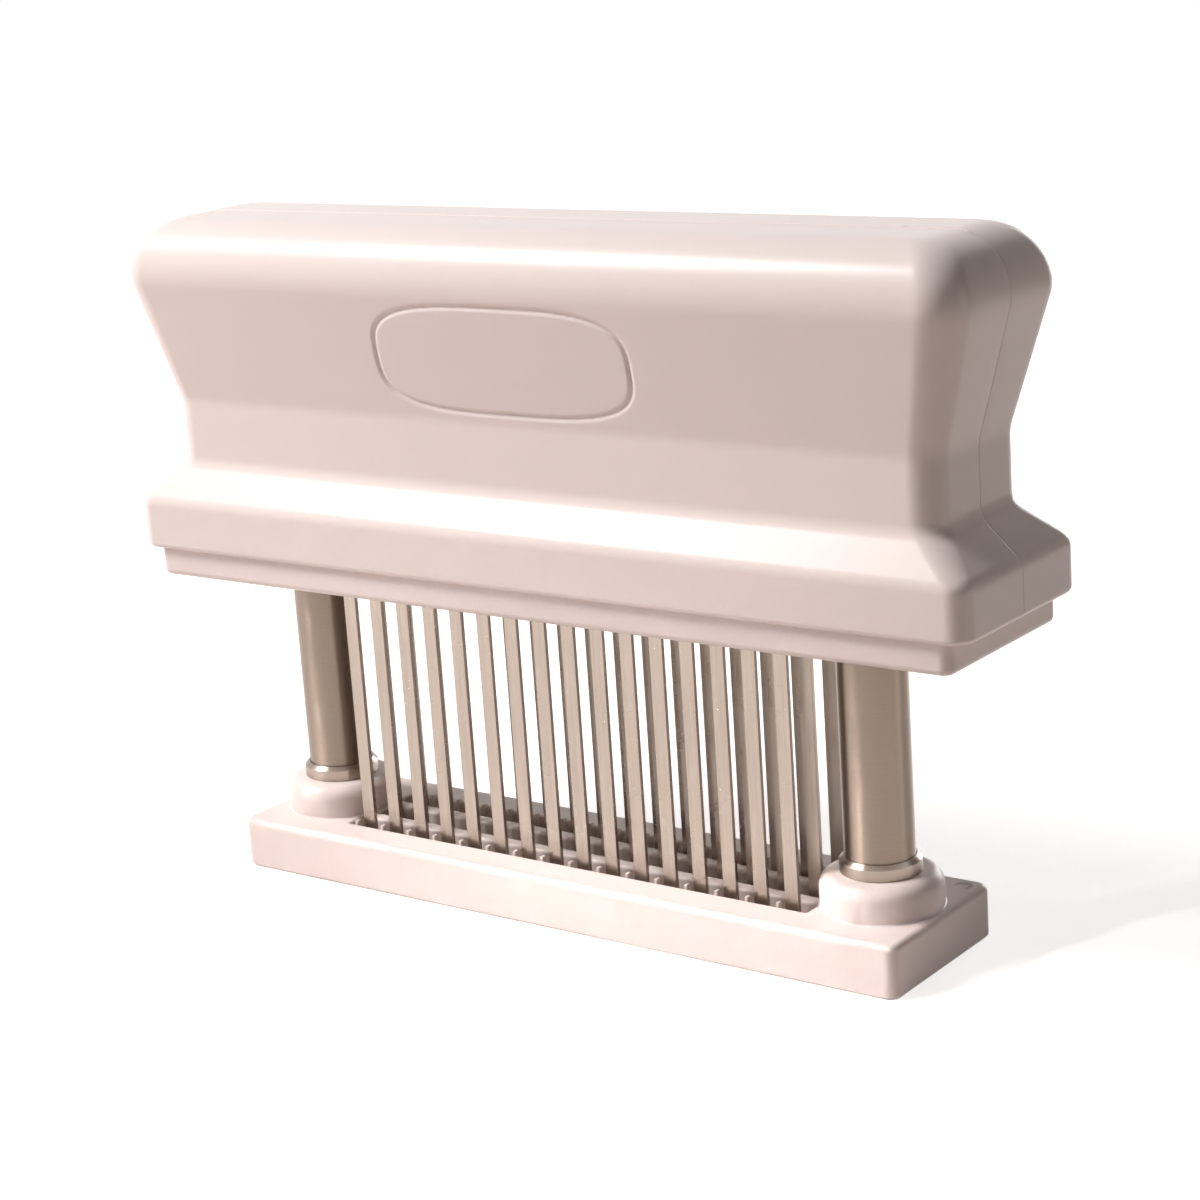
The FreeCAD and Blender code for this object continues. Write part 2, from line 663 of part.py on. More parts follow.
def make_retainer_plate():
    """Plate that closes the housing: its edge shows as a lip, and its spigot fits the mouth."""
    body = new_body("retainer_plate")
    lip = ring_section(body, "lip_outline", LIP_BOTTOM, LIP_X, LIP_Y, "lip_corner")
    pad(body, "lip", lip, "lip_height")
    dress(body, "Chamfer", "lip_bevel", level_edges(LIP_BOTTOM), "lip_bevel")
    spigot_x, spigot_y = "(%s - spigot_gap)" % MOUTH_X, "(%s - spigot_gap)" % MOUTH_Y
    spigot = ring_section(body, "spigot_outline", SKIRT_BOTTOM, spigot_x, spigot_y, INNER_CORNER)
    pad(body, "spigot", spigot, "spigot_height")
    for name, bottom, top, place, radius, cut in (
        ("guides", SPIGOT_TOP, GUIDE_TOP, COLUMN_X, "%s + bush_fit_gap + guide_wall" % BUSH_RADIUS, False),
        ("guide_bores", LIP_BOTTOM, GUIDE_TOP, COLUMN_X, "%s + bush_fit_gap" % BUSH_RADIUS, True),
        ("screw_holes", LIP_BOTTOM, SPIGOT_TOP, SCREW_X, "cover_shank_radius + hole_gap", True),
        ("screw_sinks", LIP_BOTTOM, COVER_SEAT, SCREW_X, "cover_head_radius + head_gap", True),
    ):
        sketch = new_sketch(body, name + "_outline", offset=bottom)
        for side in (-1, 1):
            draw_circle(sketch, "%d * %s" % (side, place), "0", radius)
        depth = "%s - %s" % (top, bottom)
        if cut:
            pocket(body, name, sketch, depth, reverse=True)
        else:
            pad(body, name, sketch, depth)
    cut_blade_slots(body, LIP_BOTTOM, SPIGOT_TOP, "slot_gap")


def make_guide_bush(label, side):
    """Flanged plastic bush that runs on the column."""
    body = new_body(label)
    bottom = "%s + bush_recess" % LIP_BOTTOM
    turn(body, "bush", [
        (BUSH_BORE, bottom),
        (BUSH_RADIUS, bottom),
        (BUSH_RADIUS, GUIDE_TOP),
        ("%s + bush_flange_reach" % BUSH_RADIUS, GUIDE_TOP),
        ("%s + bush_flange_reach" % BUSH_RADIUS, BUSH_TOP),
        (BUSH_BORE, BUSH_TOP),
    ])
    stand_at(body, "%d * %s" % (side, COLUMN_X))


def draw_clamp_screw_circles(sketch, radius):
    for side_x in (-1, 1):
        for side_y in (-1, 1):
            x = "%d * clamp_screw_blades * %s" % (side_x, BLADE_PITCH)
            draw_circle(sketch, x, "%d * %s / 2" % (side_y, ROW_PITCH), radius)


def make_blade_carrier():
    """Block that the blades drop through until their T heads rest on it."""
    body = new_body("blade_carrier")
    outline = ring_section(body, "block_outline", SPIGOT_TOP, CARRIER_X, CARRIER_Y, "carrier_corner")
    pad(body, "block", outline, "carrier_thickness")
    threads = new_sketch(body, "thread_outlines", offset=SPIGOT_TOP)
    draw_clamp_screw_circles(threads, "clamp_shank_radius + thread_gap")
    pocket(body, "threads", threads, "carrier_thickness", reverse=True)
    cut_blade_slots(body, SPIGOT_TOP, CARRIER_TOP, "slot_gap")


def make_clamp_plate():
    """Steel plate that holds the blades' heads down on the carrier."""
    body = new_body("blade_clamp_plate")
    outline = ring_section(body, "plate_outline", CLAMP_BOTTOM, CARRIER_X, CARRIER_Y, "carrier_corner")
    pad(body, "plate", outline, "clamp_thickness")
    holes = new_sketch(body, "hole_outlines", offset=CLAMP_BOTTOM)
    draw_clamp_screw_circles(holes, "clamp_shank_radius + hole_gap")
    pocket(body, "holes", holes, "clamp_thickness", reverse=True)


def make_clamp_screws():
    """Four pan head screws driven down through the clamp plate into the carrier."""
    body = new_body("clamp_screws")
    top = "%s + clamp_head_height" % CLAMP_TOP
    tip = "%s - clamp_shank_length" % CLAMP_TOP
    turn(body, "screw", [
        ("0", tip),
        ("clamp_shank_radius", tip),
        ("clamp_shank_radius", CLAMP_TOP),
        ("clamp_head_radius", CLAMP_TOP),
        ("clamp_head_radius", top),
        ("0", top),
    ])
    repeat(body, "pair", None, "X_Axis", "2", "2 * clamp_screw_blades * " + BLADE_PITCH, whole=True)
    repeat(body, "set", None, "Y_Axis", "2", ROW_PITCH, whole=True)
    stand_at(body, "-clamp_screw_blades * " + BLADE_PITCH, "-%s / 2" % ROW_PITCH)


def make_blade_row(label, row):
    """Row of thin flat blades with T heads and slanted, bevelled tips."""
    body = new_body(label)
    left = "%s - blade_width / 2" % FIRST_BLADE_X
    right = "%s + blade_width / 2" % FIRST_BLADE_X
    head_left = "%s - blade_head_width / 2" % FIRST_BLADE_X
    head_right = "%s + blade_head_width / 2" % FIRST_BLADE_X
    sketch = new_sketch(body, "blade_outline", "XZ_Plane")
    draw_polygon(sketch, [
        (left, "tip_height + tip_slant"),
        (right, "tip_height"),
        (right, CARRIER_TOP),
        (head_right, CARRIER_TOP),
        (head_right, CLAMP_BOTTOM),
        (head_left, CLAMP_BOTTOM),
        (head_left, CARRIER_TOP),
        (left, CARRIER_TOP),
    ])
    pad(body, "blade", sketch, "blade_thickness", midplane=True)
    low, high = value("tip_height"), value("tip_height + tip_slant")

    def cutting_edge(edge):
        box = edge.BoundBox
        return abs(box.ZMin - low) < TOUCH and abs(box.ZMax - high) < TOUCH and box.XLength > TOUCH

    dress(body, "Chamfer", "tip_bevel", cutting_edge, "tip_bevel")
    repeat(body, "row", None, "X_Axis", "blades_per_row", "2 * " + LAST_BLADE_X, whole=True)
    stand_at(body, y="%d * %s" % (row, ROW_PITCH))


# ---------------------------------------------------------------- whole tool

make_base_plate()
for end, end_side in (("left", -1), ("right", 1)):
    make_column("column_" + end, end_side)
    make_ferrule("ferrule_" + end, end_side)
    make_foot_plug("foot_plug_" + end, end_side)
    make_retaining_ring("retaining_ring_" + end, end_side)
    make_spring("spring_" + end, end_side)
    make_guide_bush("guide_bush_" + end, end_side)
make_upward_screws("column_screws", COLUMN_X, "(head_sink + foot_head_height)", "foot")
make_housing()
make_retainer_plate()
make_upward_screws("cover_screws", SCREW_X, COVER_SEAT, "cover")
make_blade_carrier()
make_clamp_plate()
make_clamp_screws()
for row_name, row_side in (("front", -1), ("middle", 0), ("rear", 1)):
    make_blade_row("blades_%s_row" % row_name, row_side)
document.recompute()

# ---------------------------------------------------------------- checks and export

pieces = [item for item in document.Objects if item.TypeId in ("PartDesign::Body", "Part::Feature")]
for item in document.Objects:
    if "Invalid" in item.State or "Error" in item.State:
        raise RuntimeError("%s failed: %s" % (item.Label, item.State))
for item in pieces:
    if item.Shape.isNull() or not item.Shape.isValid() or not item.Shape.Solids:
        raise RuntimeError("%s has no valid solid" % item.Label)

os.makedirs("parts", exist_ok=True)
for item in pieces:
    item.Shape.exportStep("parts/%s.step" % item.Label)
    print("%-22s %3d solids %10.1f mm3" % (item.Label, len(item.Shape.Solids), item.Shape.Volume))
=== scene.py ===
import json
import math

import bmesh
import bpy
from mathutils import Matrix, Vector


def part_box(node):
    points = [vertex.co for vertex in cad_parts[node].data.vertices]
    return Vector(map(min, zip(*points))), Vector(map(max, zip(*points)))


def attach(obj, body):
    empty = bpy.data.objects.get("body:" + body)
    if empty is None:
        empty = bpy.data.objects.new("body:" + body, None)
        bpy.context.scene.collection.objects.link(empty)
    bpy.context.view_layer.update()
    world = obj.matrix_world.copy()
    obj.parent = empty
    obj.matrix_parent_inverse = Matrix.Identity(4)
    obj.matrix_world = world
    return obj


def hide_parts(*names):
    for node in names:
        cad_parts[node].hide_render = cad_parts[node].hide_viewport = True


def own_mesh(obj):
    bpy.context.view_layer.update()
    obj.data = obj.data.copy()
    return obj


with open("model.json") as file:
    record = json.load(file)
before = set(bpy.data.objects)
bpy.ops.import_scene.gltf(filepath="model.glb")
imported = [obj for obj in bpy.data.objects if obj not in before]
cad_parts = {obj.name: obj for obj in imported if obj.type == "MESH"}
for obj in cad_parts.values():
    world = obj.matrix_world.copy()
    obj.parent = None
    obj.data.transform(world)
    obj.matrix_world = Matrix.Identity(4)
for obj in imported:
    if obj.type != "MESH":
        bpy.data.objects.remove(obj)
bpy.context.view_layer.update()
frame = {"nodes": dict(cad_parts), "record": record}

# A blade meat tenderizer: glossy white mouldings, two turned steel columns and three rows of blades.
# Everything is in metres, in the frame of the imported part: X along the tool, Y to the back, Z up.

MM = 0.001
PI = math.pi
UP = Vector((0, 0, 1))
BASE_BODY, HEAD = "base", "head"
ENDS = (("left", -1), ("right", 1))
ROW_NAMES = ("front", "middle", "rear")

# ---------------------------------------------------------------- places read from the frame

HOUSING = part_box("housing")[1]
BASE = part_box("base_plate")[1]
LIP_LOW, LIP_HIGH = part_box("retainer_plate")
COLUMN_LOW, COLUMN_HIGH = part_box("column_right")
FERRULE_LOW, FERRULE_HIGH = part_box("ferrule_right")
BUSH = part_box("guide_bush_right")[1]
COVER_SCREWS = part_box("cover_screws")[1]
ROWS = [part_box("blades_%s_row" % row) for row in ROW_NAMES]
PLUG_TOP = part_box("foot_plug_right")[1].z
SPRING_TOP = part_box("spring_right")[1].z

COLUMN_X = (COLUMN_LOW.x + COLUMN_HIGH.x) / 2
COLUMN_RADIUS = (COLUMN_HIGH.x - COLUMN_LOW.x) / 2
FERRULE_RADIUS = (FERRULE_HIGH.x - FERRULE_LOW.x) / 2

# blades: sixteen in a row, and the T head on each is wider than the blade
BLADES = 16
BLADE_HEAD, BLADE_WIDTH = 3.6 * MM, 2.2 * MM
LAST_BLADE_X = ROWS[0][1].x - BLADE_HEAD / 2
BLADE_X = [LAST_BLADE_X * (2 * k / (BLADES - 1) - 1) for k in range(BLADES)]
BLADE_Y = [(low.y + high.y) / 2 for low, high in ROWS]
BLADE_THICKNESS = ROWS[0][1].y - ROWS[0][0].y


# ---------------------------------------------------------------- mesh helpers

# points this close, in metres, are joined, and turns this small, in radians, are left straight
SAME_PLACE, STRAIGHT = 1e-7, 1e-4
QUARTERS = ((1, 1), (-1, 1), (-1, -1), (1, -1))


def link_object(name, data):
    obj = bpy.data.objects.new(name, data)
    bpy.context.scene.collection.objects.link(obj)
    return obj


def smooth_object(name, mesh):
    """Object from a mesh, with all its faces smooth."""
    for polygon in mesh.polygons:
        polygon.use_smooth = True
    return link_object(name, mesh)


def add_object(name, verts, faces):
    mesh = bpy.data.meshes.new(name)
    mesh.from_pydata([tuple(v) for v in verts], [], faces)
    mesh.validate()
    mesh.update()
    return smooth_object(name, mesh)


def sharpen(obj, degrees):
    """Keep edges sharper than an angle crisp under smooth shading."""
    work = bmesh.new()
    work.from_mesh(obj.data)
    limit = math.radians(degrees)
    for edge in work.edges:
        edge.smooth = not (len(edge.link_faces) == 2 and edge.calc_face_angle(0) > limit)
    work.to_mesh(obj.data)
    work.free()


def face_outwards(obj, joined=False):
    """Turn every face outwards, once points in the same place are joined if that is asked for."""
    work = bmesh.new()
    work.from_mesh(obj.data)
    if joined:
        bmesh.ops.remove_doubles(work, verts=work.verts, dist=SAME_PLACE)
    bmesh.ops.recalc_face_normals(work, faces=work.faces)
    work.to_mesh(obj.data)
    work.free()


def weigh_normals(obj):
    """Let large flat faces set the shading beside their rounded edges."""
    weigh = obj.modifiers.new("normals", "WEIGHTED_NORMAL")
    weigh.keep_sharp = True
    return obj


def bridge(rings):
    """Faces between rings of equal length, with both ends capped."""
    count = len(rings[0])
    last = (len(rings) - 1) * count
    faces = []
    for low in range(0, last, count):
        high = low + count
        for k in range(count):
            n = (k + 1) % count
            faces.append((low + k, low + n, high + n, high + k))
    faces.append(tuple(reversed(range(count))))
    faces.append(tuple(range(last, last + count)))
    return faces


def lathe(name, profile, x, sharp, segments=128):
    """Solid turned about the upright axis at x from a closed profile of (radius, height) pairs."""
    verts, faces = [], []
    count = len(profile)
    for step in range(segments):
        angle = 2 * PI * step / segments
        for radius, height in profile:
            verts.append((x + radius * math.cos(angle), radius * math.sin(angle), height))
    for step in range(segments):
        here, ahead = step * count, (step + 1) % segments * count
        for k in range(count):
            n = (k + 1) % count
            faces.append((here + k, ahead + k, ahead + n, here + n))
    obj = add_object(name, verts, faces)
    face_outwards(obj, joined=True)
    sharpen(obj, sharp)
    return obj


def rounded(points, radii, steps=6):
    """Polyline of 2-D points with each corner replaced by an arc of its radius."""
    out = [points[0]]
    for before, corner, after, radius in zip(points, points[1:], points[2:], radii):
        corner_v = Vector(corner)
        back = (Vector(before) - corner_v).normalized()
        ahead = (Vector(after) - corner_v).normalized()
        turn = PI - back.angle(ahead)
        if radius <= 0 or turn < STRAIGHT:
            out.append(corner)
            continue
        reach = radius * math.tan(turn / 2)
        start = corner_v + back * reach
        centre = corner_v + (back + ahead).normalized() * (radius / math.cos(turn / 2))
        arm = start - centre
        side = 1 if back.x * ahead.y - back.y * ahead.x < 0 else -1
        for k in range(steps + 1):
            swing = Matrix.Rotation(side * turn * k / steps, 2)
            out.append(tuple(centre + swing @ arm))
    out.append(points[-1])
    return out


def corner_ring(half_x, half_y, corner, z, steps):
    """Rounded rectangle about the origin, as a list of points."""
    ring = []
    for turn, (sign_x, sign_y) in enumerate(QUARTERS):
        for k in range(steps + 1):
            angle = PI / 2 * (turn + k / steps)
            x = sign_x * (half_x - corner) + corner * math.cos(angle)
            y = sign_y * (half_y - corner) + corner * math.sin(angle)
            ring.append((x, y, z))
    return ring


def inset_rings(section, half_x, half_y, corner, least, steps=8):
    """Outlines of a slab from the section of its end; its sides and corners go in as the end does."""
    rings = []
    for x, z in section:
        inset = half_x - x
        rings.append(corner_ring(x, half_y - inset, max(least, corner - inset), z, steps))
    return rings


def box_ring(x, y, half_x, half_y, z):
    return [(x + i * half_x, y + j * half_y, z) for i, j in QUARTERS]


def add_wall(work, rings):
    """Side wall through rings of equal length; gives the edges of its first and last ring."""
    loops = [[work.verts.new(point) for point in ring] for ring in rings]
    for low, high in zip(loops, loops[1:]):
        for k in range(len(low)):
            n = (k + 1) % len(low)
            work.faces.new((low[k], low[n], high[n], high[k]))
    ends = []
    for loop in (loops[0], loops[-1]):
        pairs = zip(loop, loop[1:] + loop[:1])
        ends.append([work.edges.get(pair) or work.edges.new(pair) for pair in pairs])
    return ends


def round_wall(work, x, levels, y=0, segments=64):
    """Wall of a stepped round hole or pin about an upright axis, through (radius, height) pairs."""
    angles = [2 * PI * k / segments for k in range(segments)]
    return add_wall(work, [
        [(x + radius * math.cos(a), y + radius * math.sin(a), z) for a in angles] for radius, z in levels
    ])


def close_level(work, *loops):
    """Flat face between an outer loop of edges and the holes in it."""
    edges = [edge for loop in loops for edge in loop]
    bmesh.ops.triangle_fill(work, edges=edges, use_beauty=True, normal=(0, 0, 1))


def add_prism(work, outline, offset):
    """Closed straight solid between an outline of points and the same outline moved by an offset."""
    near = [work.verts.new(point) for point in outline]
    far = [work.verts.new(Vector(point) + Vector(offset)) for point in outline]
    work.faces.new(near)
    work.faces.new(list(reversed(far)))
    for k in range(len(outline)):
        n = (k + 1) % len(outline)
        work.faces.new((near[n], near[k], far[k], far[n]))


def round_edges(work, edges, width):
    bmesh.ops.bevel(work, geom=edges, offset=width, segments=2, profile=0.5, affect="EDGES")


def finish_mesh(work, name, sharp=35):
    """Object from a mesh under construction, smooth but for its sharp edges."""
    bmesh.ops.recalc_face_normals(work, faces=work.faces)
    mesh = bpy.data.meshes.new(name)
    work.to_mesh(mesh)
    work.free()
    obj = smooth_object(name, mesh)
    sharpen(obj, sharp)
    return weigh_normals(obj)


# ---------------------------------------------------------------- materials

def set_inputs(made, settings):
    """Set a node's inputs, or else its properties, by names with underscores for spaces."""
    for key, setting in settings.items():
        socket = key.replace("_", " ")
        if socket in made.inputs.keys():
            made.inputs[socket].default_value = setting
        else:
            setattr(made, key, setting)


def node(tree, kind, **settings):
    made = tree.nodes.new(kind)
    set_inputs(made, settings)
    return made


def new_material(name, **settings):
    """Material, its nodes and its shader, which takes the settings."""
    material = bpy.data.materials.new(name)
    material.use_nodes = True
    tree = material.node_tree
    shader = tree.nodes["Principled BSDF"]
    set_inputs(shader, settings)
    return material, tree, shader


def spot(tree, stretch=(1, 1, 1)):
    """Object coordinates in millimetres, times a stretch along each axis."""
    place = node(tree, "ShaderNodeTexCoord")
    mapping = node(tree, "ShaderNodeMapping", Scale=[s / MM for s in stretch])
    tree.links.new(place.outputs["Object"], mapping.inputs["Vector"])
    return mapping.outputs["Vector"]


def noise(tree, scale, stretch=(1, 1, 1), detail=3, roughness=0.5):
    """Noise with a number of lumps to the millimetre."""
    made = node(tree, "ShaderNodeTexNoise", Scale=scale, Detail=detail, Roughness=roughness)
    tree.links.new(spot(tree, stretch), made.inputs["Vector"])
    return made.outputs["Fac"]


def spread(tree, texture, low, high, start=0.3, end=0.7):
    """Number from low to high as a texture goes from start to end."""
    made = node(tree, "ShaderNodeMapRange", From_Min=start, From_Max=end, To_Min=low, To_Max=high)
    tree.links.new(texture, made.inputs["Value"])
    return made.outputs["Result"]


def shade(colour, factor=1.0):
    return tuple(c * factor for c in colour) + (1.0,)


def tint(tree, shader, texture, low, high, start=0.3):
    """Colour a shader from a low to a high shade as a texture goes from start to 1 - start."""
    made = node(tree, "ShaderNodeValToRGB")
    first, last = made.color_ramp.elements
    first.position, first.color = start, low
    last.position, last.color = 1 - start, high
    tree.links.new(texture, made.inputs["Fac"])
    tree.links.new(made.outputs["Color"], shader.inputs["Base Color"])


def vary_gloss(tree, shader, texture, smoothest, roughest):
    tree.links.new(spread(tree, texture, smoothest, roughest), shader.inputs["Roughness"])


def bump(tree, shader, height, depth, strength):
    made = node(tree, "ShaderNodeBump", Strength=strength, Distance=depth)
    tree.links.new(height, made.inputs["Height"])
    tree.links.new(made.outputs["Normal"], shader.inputs["Normal"])


def moulded_plastic(name, colour, roughness):
    """Glossy moulded plastic: faint flow clouds in its colour and a slight unevenness in its gloss."""
    material, tree, shader = new_material(
        name, Specular_IOR_Level=0.18, Coat_Weight=0.07, Coat_Roughness=0.18,
        Subsurface_Weight=0.08, Subsurface_Radius=(1.0, 0.7, 0.55), Subsurface_Scale=2 * MM,
    )
    clouds = noise(tree, scale=0.02, stretch=(1, 1, 2), detail=1)
    tint(tree, shader, clouds, shade(colour, 0.985), shade(colour, 1.01), start=0.2)
    smear = noise(tree, scale=0.03, detail=2, roughness=0.4)
    vary_gloss(tree, shader, smear, roughness * 0.92, roughness * 1.08)
    bump(tree, shader, noise(tree, scale=0.06, detail=1), depth=0.02 * MM, strength=0.3)
    return material


def turned_steel(name, colour, roughness):
    """Steel with fine lines round it, as a lathe leaves, that stretch every reflection upright."""
    material, tree, shader = new_material(
        name, Metallic=1.0, Anisotropic=0.85, Anisotropic_Rotation=0.25,
    )
    rings = noise(tree, scale=9.0, stretch=(0.02, 0.02, 1), detail=6, roughness=0.7)
    tint(tree, shader, rings, shade(colour, 0.93), shade(colour, 1.04))
    vary_gloss(tree, shader, rings, roughness * 0.9, roughness * 1.15)
    bump(tree, shader, rings, depth=0.001 * MM, strength=0.6)
    round_axis = node(tree, "ShaderNodeTangent", direction_type="RADIAL", axis="Z")
    tree.links.new(round_axis.outputs["Tangent"], shader.inputs["Tangent"])
    return material


def ground_steel(name, colour, roughness):
    """Steel strip with a fine grain along its length and a gloss that changes from place to place."""
    material, tree, shader = new_material(name, Metallic=1.0)
    grain = noise(tree, scale=2.2, stretch=(1, 1, 0.03), detail=5, roughness=0.65)
    tint(tree, shader, grain, shade(colour, 0.84), shade(colour, 1.06), start=0.25)
    vary_gloss(tree, shader, noise(tree, scale=0.12), roughness * 0.75, roughness * 1.3)
    bump(tree, shader, grain, depth=0.003 * MM, strength=0.5)
    return material


def polished_steel(name, colour, roughness):
    material, tree, shader = new_material(name, Metallic=1.0)
    smear = noise(tree, scale=0.9, stretch=(1, 1, 3), detail=5)
    tint(tree, shader, smear, shade(colour, 0.9), shade(colour, 1.04))
    vary_gloss(tree, shader, smear, roughness * 0.7, roughness * 1.5)
    bump(tree, shader, smear, depth=0.004 * MM, strength=0.4)
    return material


def satin_plastic(name, colour, roughness):
    material, tree, shader = new_material(name)
    tint(tree, shader, noise(tree, scale=0.3, detail=4), shade(colour, 0.94), shade(colour, 1.04))
    grain = noise(tree, scale=3.0)
    vary_gloss(tree, shader, grain, roughness * 0.85, roughness * 1.15)
    bump(tree, shader, grain, depth=0.01 * MM, strength=0.5)
    return material


# recipe, colour and roughness of each material slot
RECIPES = {
    "white_moulding": (moulded_plastic, (0.80, 0.685, 0.645), 0.32),
    "column_steel": (turned_steel, (0.285, 0.225, 0.18), 0.4),
    "ferrule_steel": (turned_steel, (0.38, 0.315, 0.265), 0.3),
    "blade_steel": (ground_steel, (0.43, 0.365, 0.315), 0.3),
    "inner_steel": (ground_steel, (0.52, 0.50, 0.48), 0.35),
    "screw_steel": (polished_steel, (0.58, 0.56, 0.54), 0.2),
    "spring_wire": (polished_steel, (0.50, 0.49, 0.48), 0.25),
    "bush_plastic": (satin_plastic, (0.78, 0.74, 0.69), 0.45),
    "carrier_plastic": (satin_plastic, (0.70, 0.67, 0.62), 0.45),
}
MATERIALS = {name: recipe(name, colour, gloss) for name, (recipe, colour, gloss) in RECIPES.items()}


def finish_piece(obj, slot, body, *nodes):
    """Give a piece its material, set it on its body and let it stand for CAD nodes."""
    obj.data.materials.append(MATERIALS[slot])
    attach(obj, body)
    if nodes:
        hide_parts(*nodes)


def dress_cad_nodes():
    """Every node that stays shown gets its slot's material."""
    for part in frame["record"]["subparts"]:
        obj = frame["nodes"][part["node"]]
        if not obj.material_slots:
            obj.data.materials.append(None)
        for slot in obj.material_slots:
            slot.link = "OBJECT"
            slot.material = MATERIALS[part["material_slot"]]


# ---------------------------------------------------------------- housing

# This section is in millimetres until its points are handed over.
# heights and half sizes of the cover, and how far each is set in from the one below it
SPIGOT_HEIGHT, GUIDE_HEIGHT = 2.5, 4.0
RIM = LIP_HIGH.z / MM - SPIGOT_HEIGHT - GUIDE_HEIGHT
SKIRT_TOP, SHOULDER_TOP, WAIST_TOP, CROWN_CENTRE = 59.2, 64.75, 74.6, 94.1
SKIRT_X, SKIRT_Y, CROWN_TOP = HOUSING.x / MM, HOUSING.y / MM, HOUSING.z / MM
WAIST_INSET_X, WAIST_INSET_Y = 5.9, 4.1
CROWN_INSET_X, CROWN_INSET_Y = 2.9, 4.5
WAIST_X, WAIST_Y = SKIRT_X - WAIST_INSET_X, SKIRT_Y - WAIST_INSET_Y
CROWN_X, CROWN_Y = WAIST_X - CROWN_INSET_X, WAIST_Y - CROWN_INSET_Y
CROWN_ROUND = CROWN_TOP - CROWN_CENTRE
WALL = 2.4
MOUTH_INSET_X, MOUTH_INSET_Y, MOUTH_DEPTH = 4.0, 2.2, 5.5

# rounds of the section and of the corners seen from above, from the rim up
RIM_WIDTH, RIM_ROUND, SKIRT_ROUND, SHOULDER_ROUND, WAIST_ROUND = 1.2, 0.9, 3.0, 3.6, 8.0
MOUTH_ROUND, INNER_SHOULDER_ROUND, INNER_WAIST_ROUND = 0.4, 0.8, 6.0
SKIRT_CORNER, WAIST_CORNER, GRIP_CORNER, TOP_CORNER, INNER_CORNER = 3.0, 4.2, 5.4, 2.4, 2.2
GRIP_LEVEL = CROWN_CENTRE - 2.0

# numbers of points, and the band of heights in which the outlines lie close together
CORNER_STEPS, CROWN_STEPS, OUTER_STEPS, INNER_STEPS = 14, 28, 8, 5
COARSE_PLACES, BACK_PLACES, SEAM_PLACES, TOP_RINGS = 4, 8, 10, 6
FINE_STEP, FINE_LOW, FINE_HIGH = 0.22, WAIST_TOP + 0.5, 93.0

# groove round the bare badge place, a rounded oblong on the leaning front of the grip
BADGE_X, BADGE_Z = -0.4, 84.0
BADGE_HALF_X, BADGE_HALF_Z, BADGE_POWER = 22.3, 7.8, 3.3
BADGE_GROOVE, BADGE_DEPTH = 0.3, 0.34
BADGE_NEAR, BADGE_FAR, BADGE_MARGIN = 0.5, 1.3, 2.0
GRIP_FRONT, GRIP_OUT, GRIP_RISE = -11.0, 4.24, 21.4
GRIP_LEAN = math.atan2(GRIP_OUT, GRIP_RISE)

# parting line of the mould: a fine seam up the ends, and a step between its halves on the flat top
SEAM_WIDTH, SEAM_DEPTH = 0.14, 0.1
SEAM_BAND, SEAM_REACH, SEAM_TOP = 2 * SEAM_WIDTH, 4 * SEAM_WIDTH, CROWN_TOP - 0.5
PARTING_HALF, PARTING_DROP, PARTING_FADE = 0.1, 0.14, 3.0
PARTING_EDGE = 1.1 * PARTING_HALF


def side_places(low, high, dense_low, dense_high, count):
    """Places along a side: coarse ends and a dense middle."""
    coarse = COARSE_PLACES
    places = [low + (dense_low - low) * k / coarse for k in range(coarse)]
    places += [dense_low + (dense_high - dense_low) * k / count for k in range(count + 1)]
    places += [dense_high + (high - dense_high) * k / coarse for k in range(1, coarse + 1)]
    return places


def cover_ring(end, side, corner):
    """Outline of the cover; its height may differ between the ends and the long sides."""
    (half_x, z_x), (half_y, z_y) = end, side
    x, y = half_x - corner, half_y - corner
    middle, badge = min(y / 2, SEAM_BAND), BADGE_HALF_X + BADGE_MARGIN
    fine_places = round(2 * badge / FINE_STEP)
    right = [(half_x, t, z_x) for t in side_places(-y, y, -middle, middle, SEAM_PLACES)]
    back = [(t, half_y, z_y) for t in side_places(x, -x, badge, -badge, BACK_PLACES)]
    left = [(-px, -py, pz) for px, py, pz in right]
    front = [(t, -half_y, z_y) for t in side_places(-x, x, -badge, badge, fine_places)]
    ring = []
    for turn, (points, (sign_x, sign_y)) in enumerate(zip((right, back, left, front), QUARTERS)):
        ring += points
        for k in range(1, CORNER_STEPS):
            angle = PI / 2 * (turn + k / CORNER_STEPS)
            share = math.sin(angle) ** 2
            px = sign_x * x + corner * math.cos(angle)
            py = sign_y * y + corner * math.sin(angle)
            ring.append((px, py, z_x * (1 - share) + z_y * share))
    return ring


def crown_arc(waist, crown, wall=0.0):
    """Arc of the crown from where it leaves the slope up to the top, as (half size, height) pairs."""
    reach, drop = waist - crown - wall, WAIST_TOP - CROWN_CENTRE
    radius = CROWN_ROUND - wall
    start = math.atan2(drop, reach) + math.acos(radius / math.hypot(reach, drop))
    arc = []
    for k in range(CROWN_STEPS + 1):
        angle = start + (PI / 2 - start) * k / CROWN_STEPS
        arc.append((crown + radius * math.cos(angle), CROWN_CENTRE + radius * math.sin(angle)))
    return arc


def outer_section(skirt, waist, crown):
    """Section of the cover's outside below the crown's arc, and the arc."""
    arc = crown_arc(waist, crown)
    lower = rounded([
        (skirt - RIM_WIDTH, RIM), (skirt, RIM), (skirt, SKIRT_TOP),
        (waist, SHOULDER_TOP), (waist, WAIST_TOP), arc[0],
    ], [RIM_ROUND, SKIRT_ROUND, SHOULDER_ROUND, WAIST_ROUND], OUTER_STEPS)
    return lower, arc[1:]


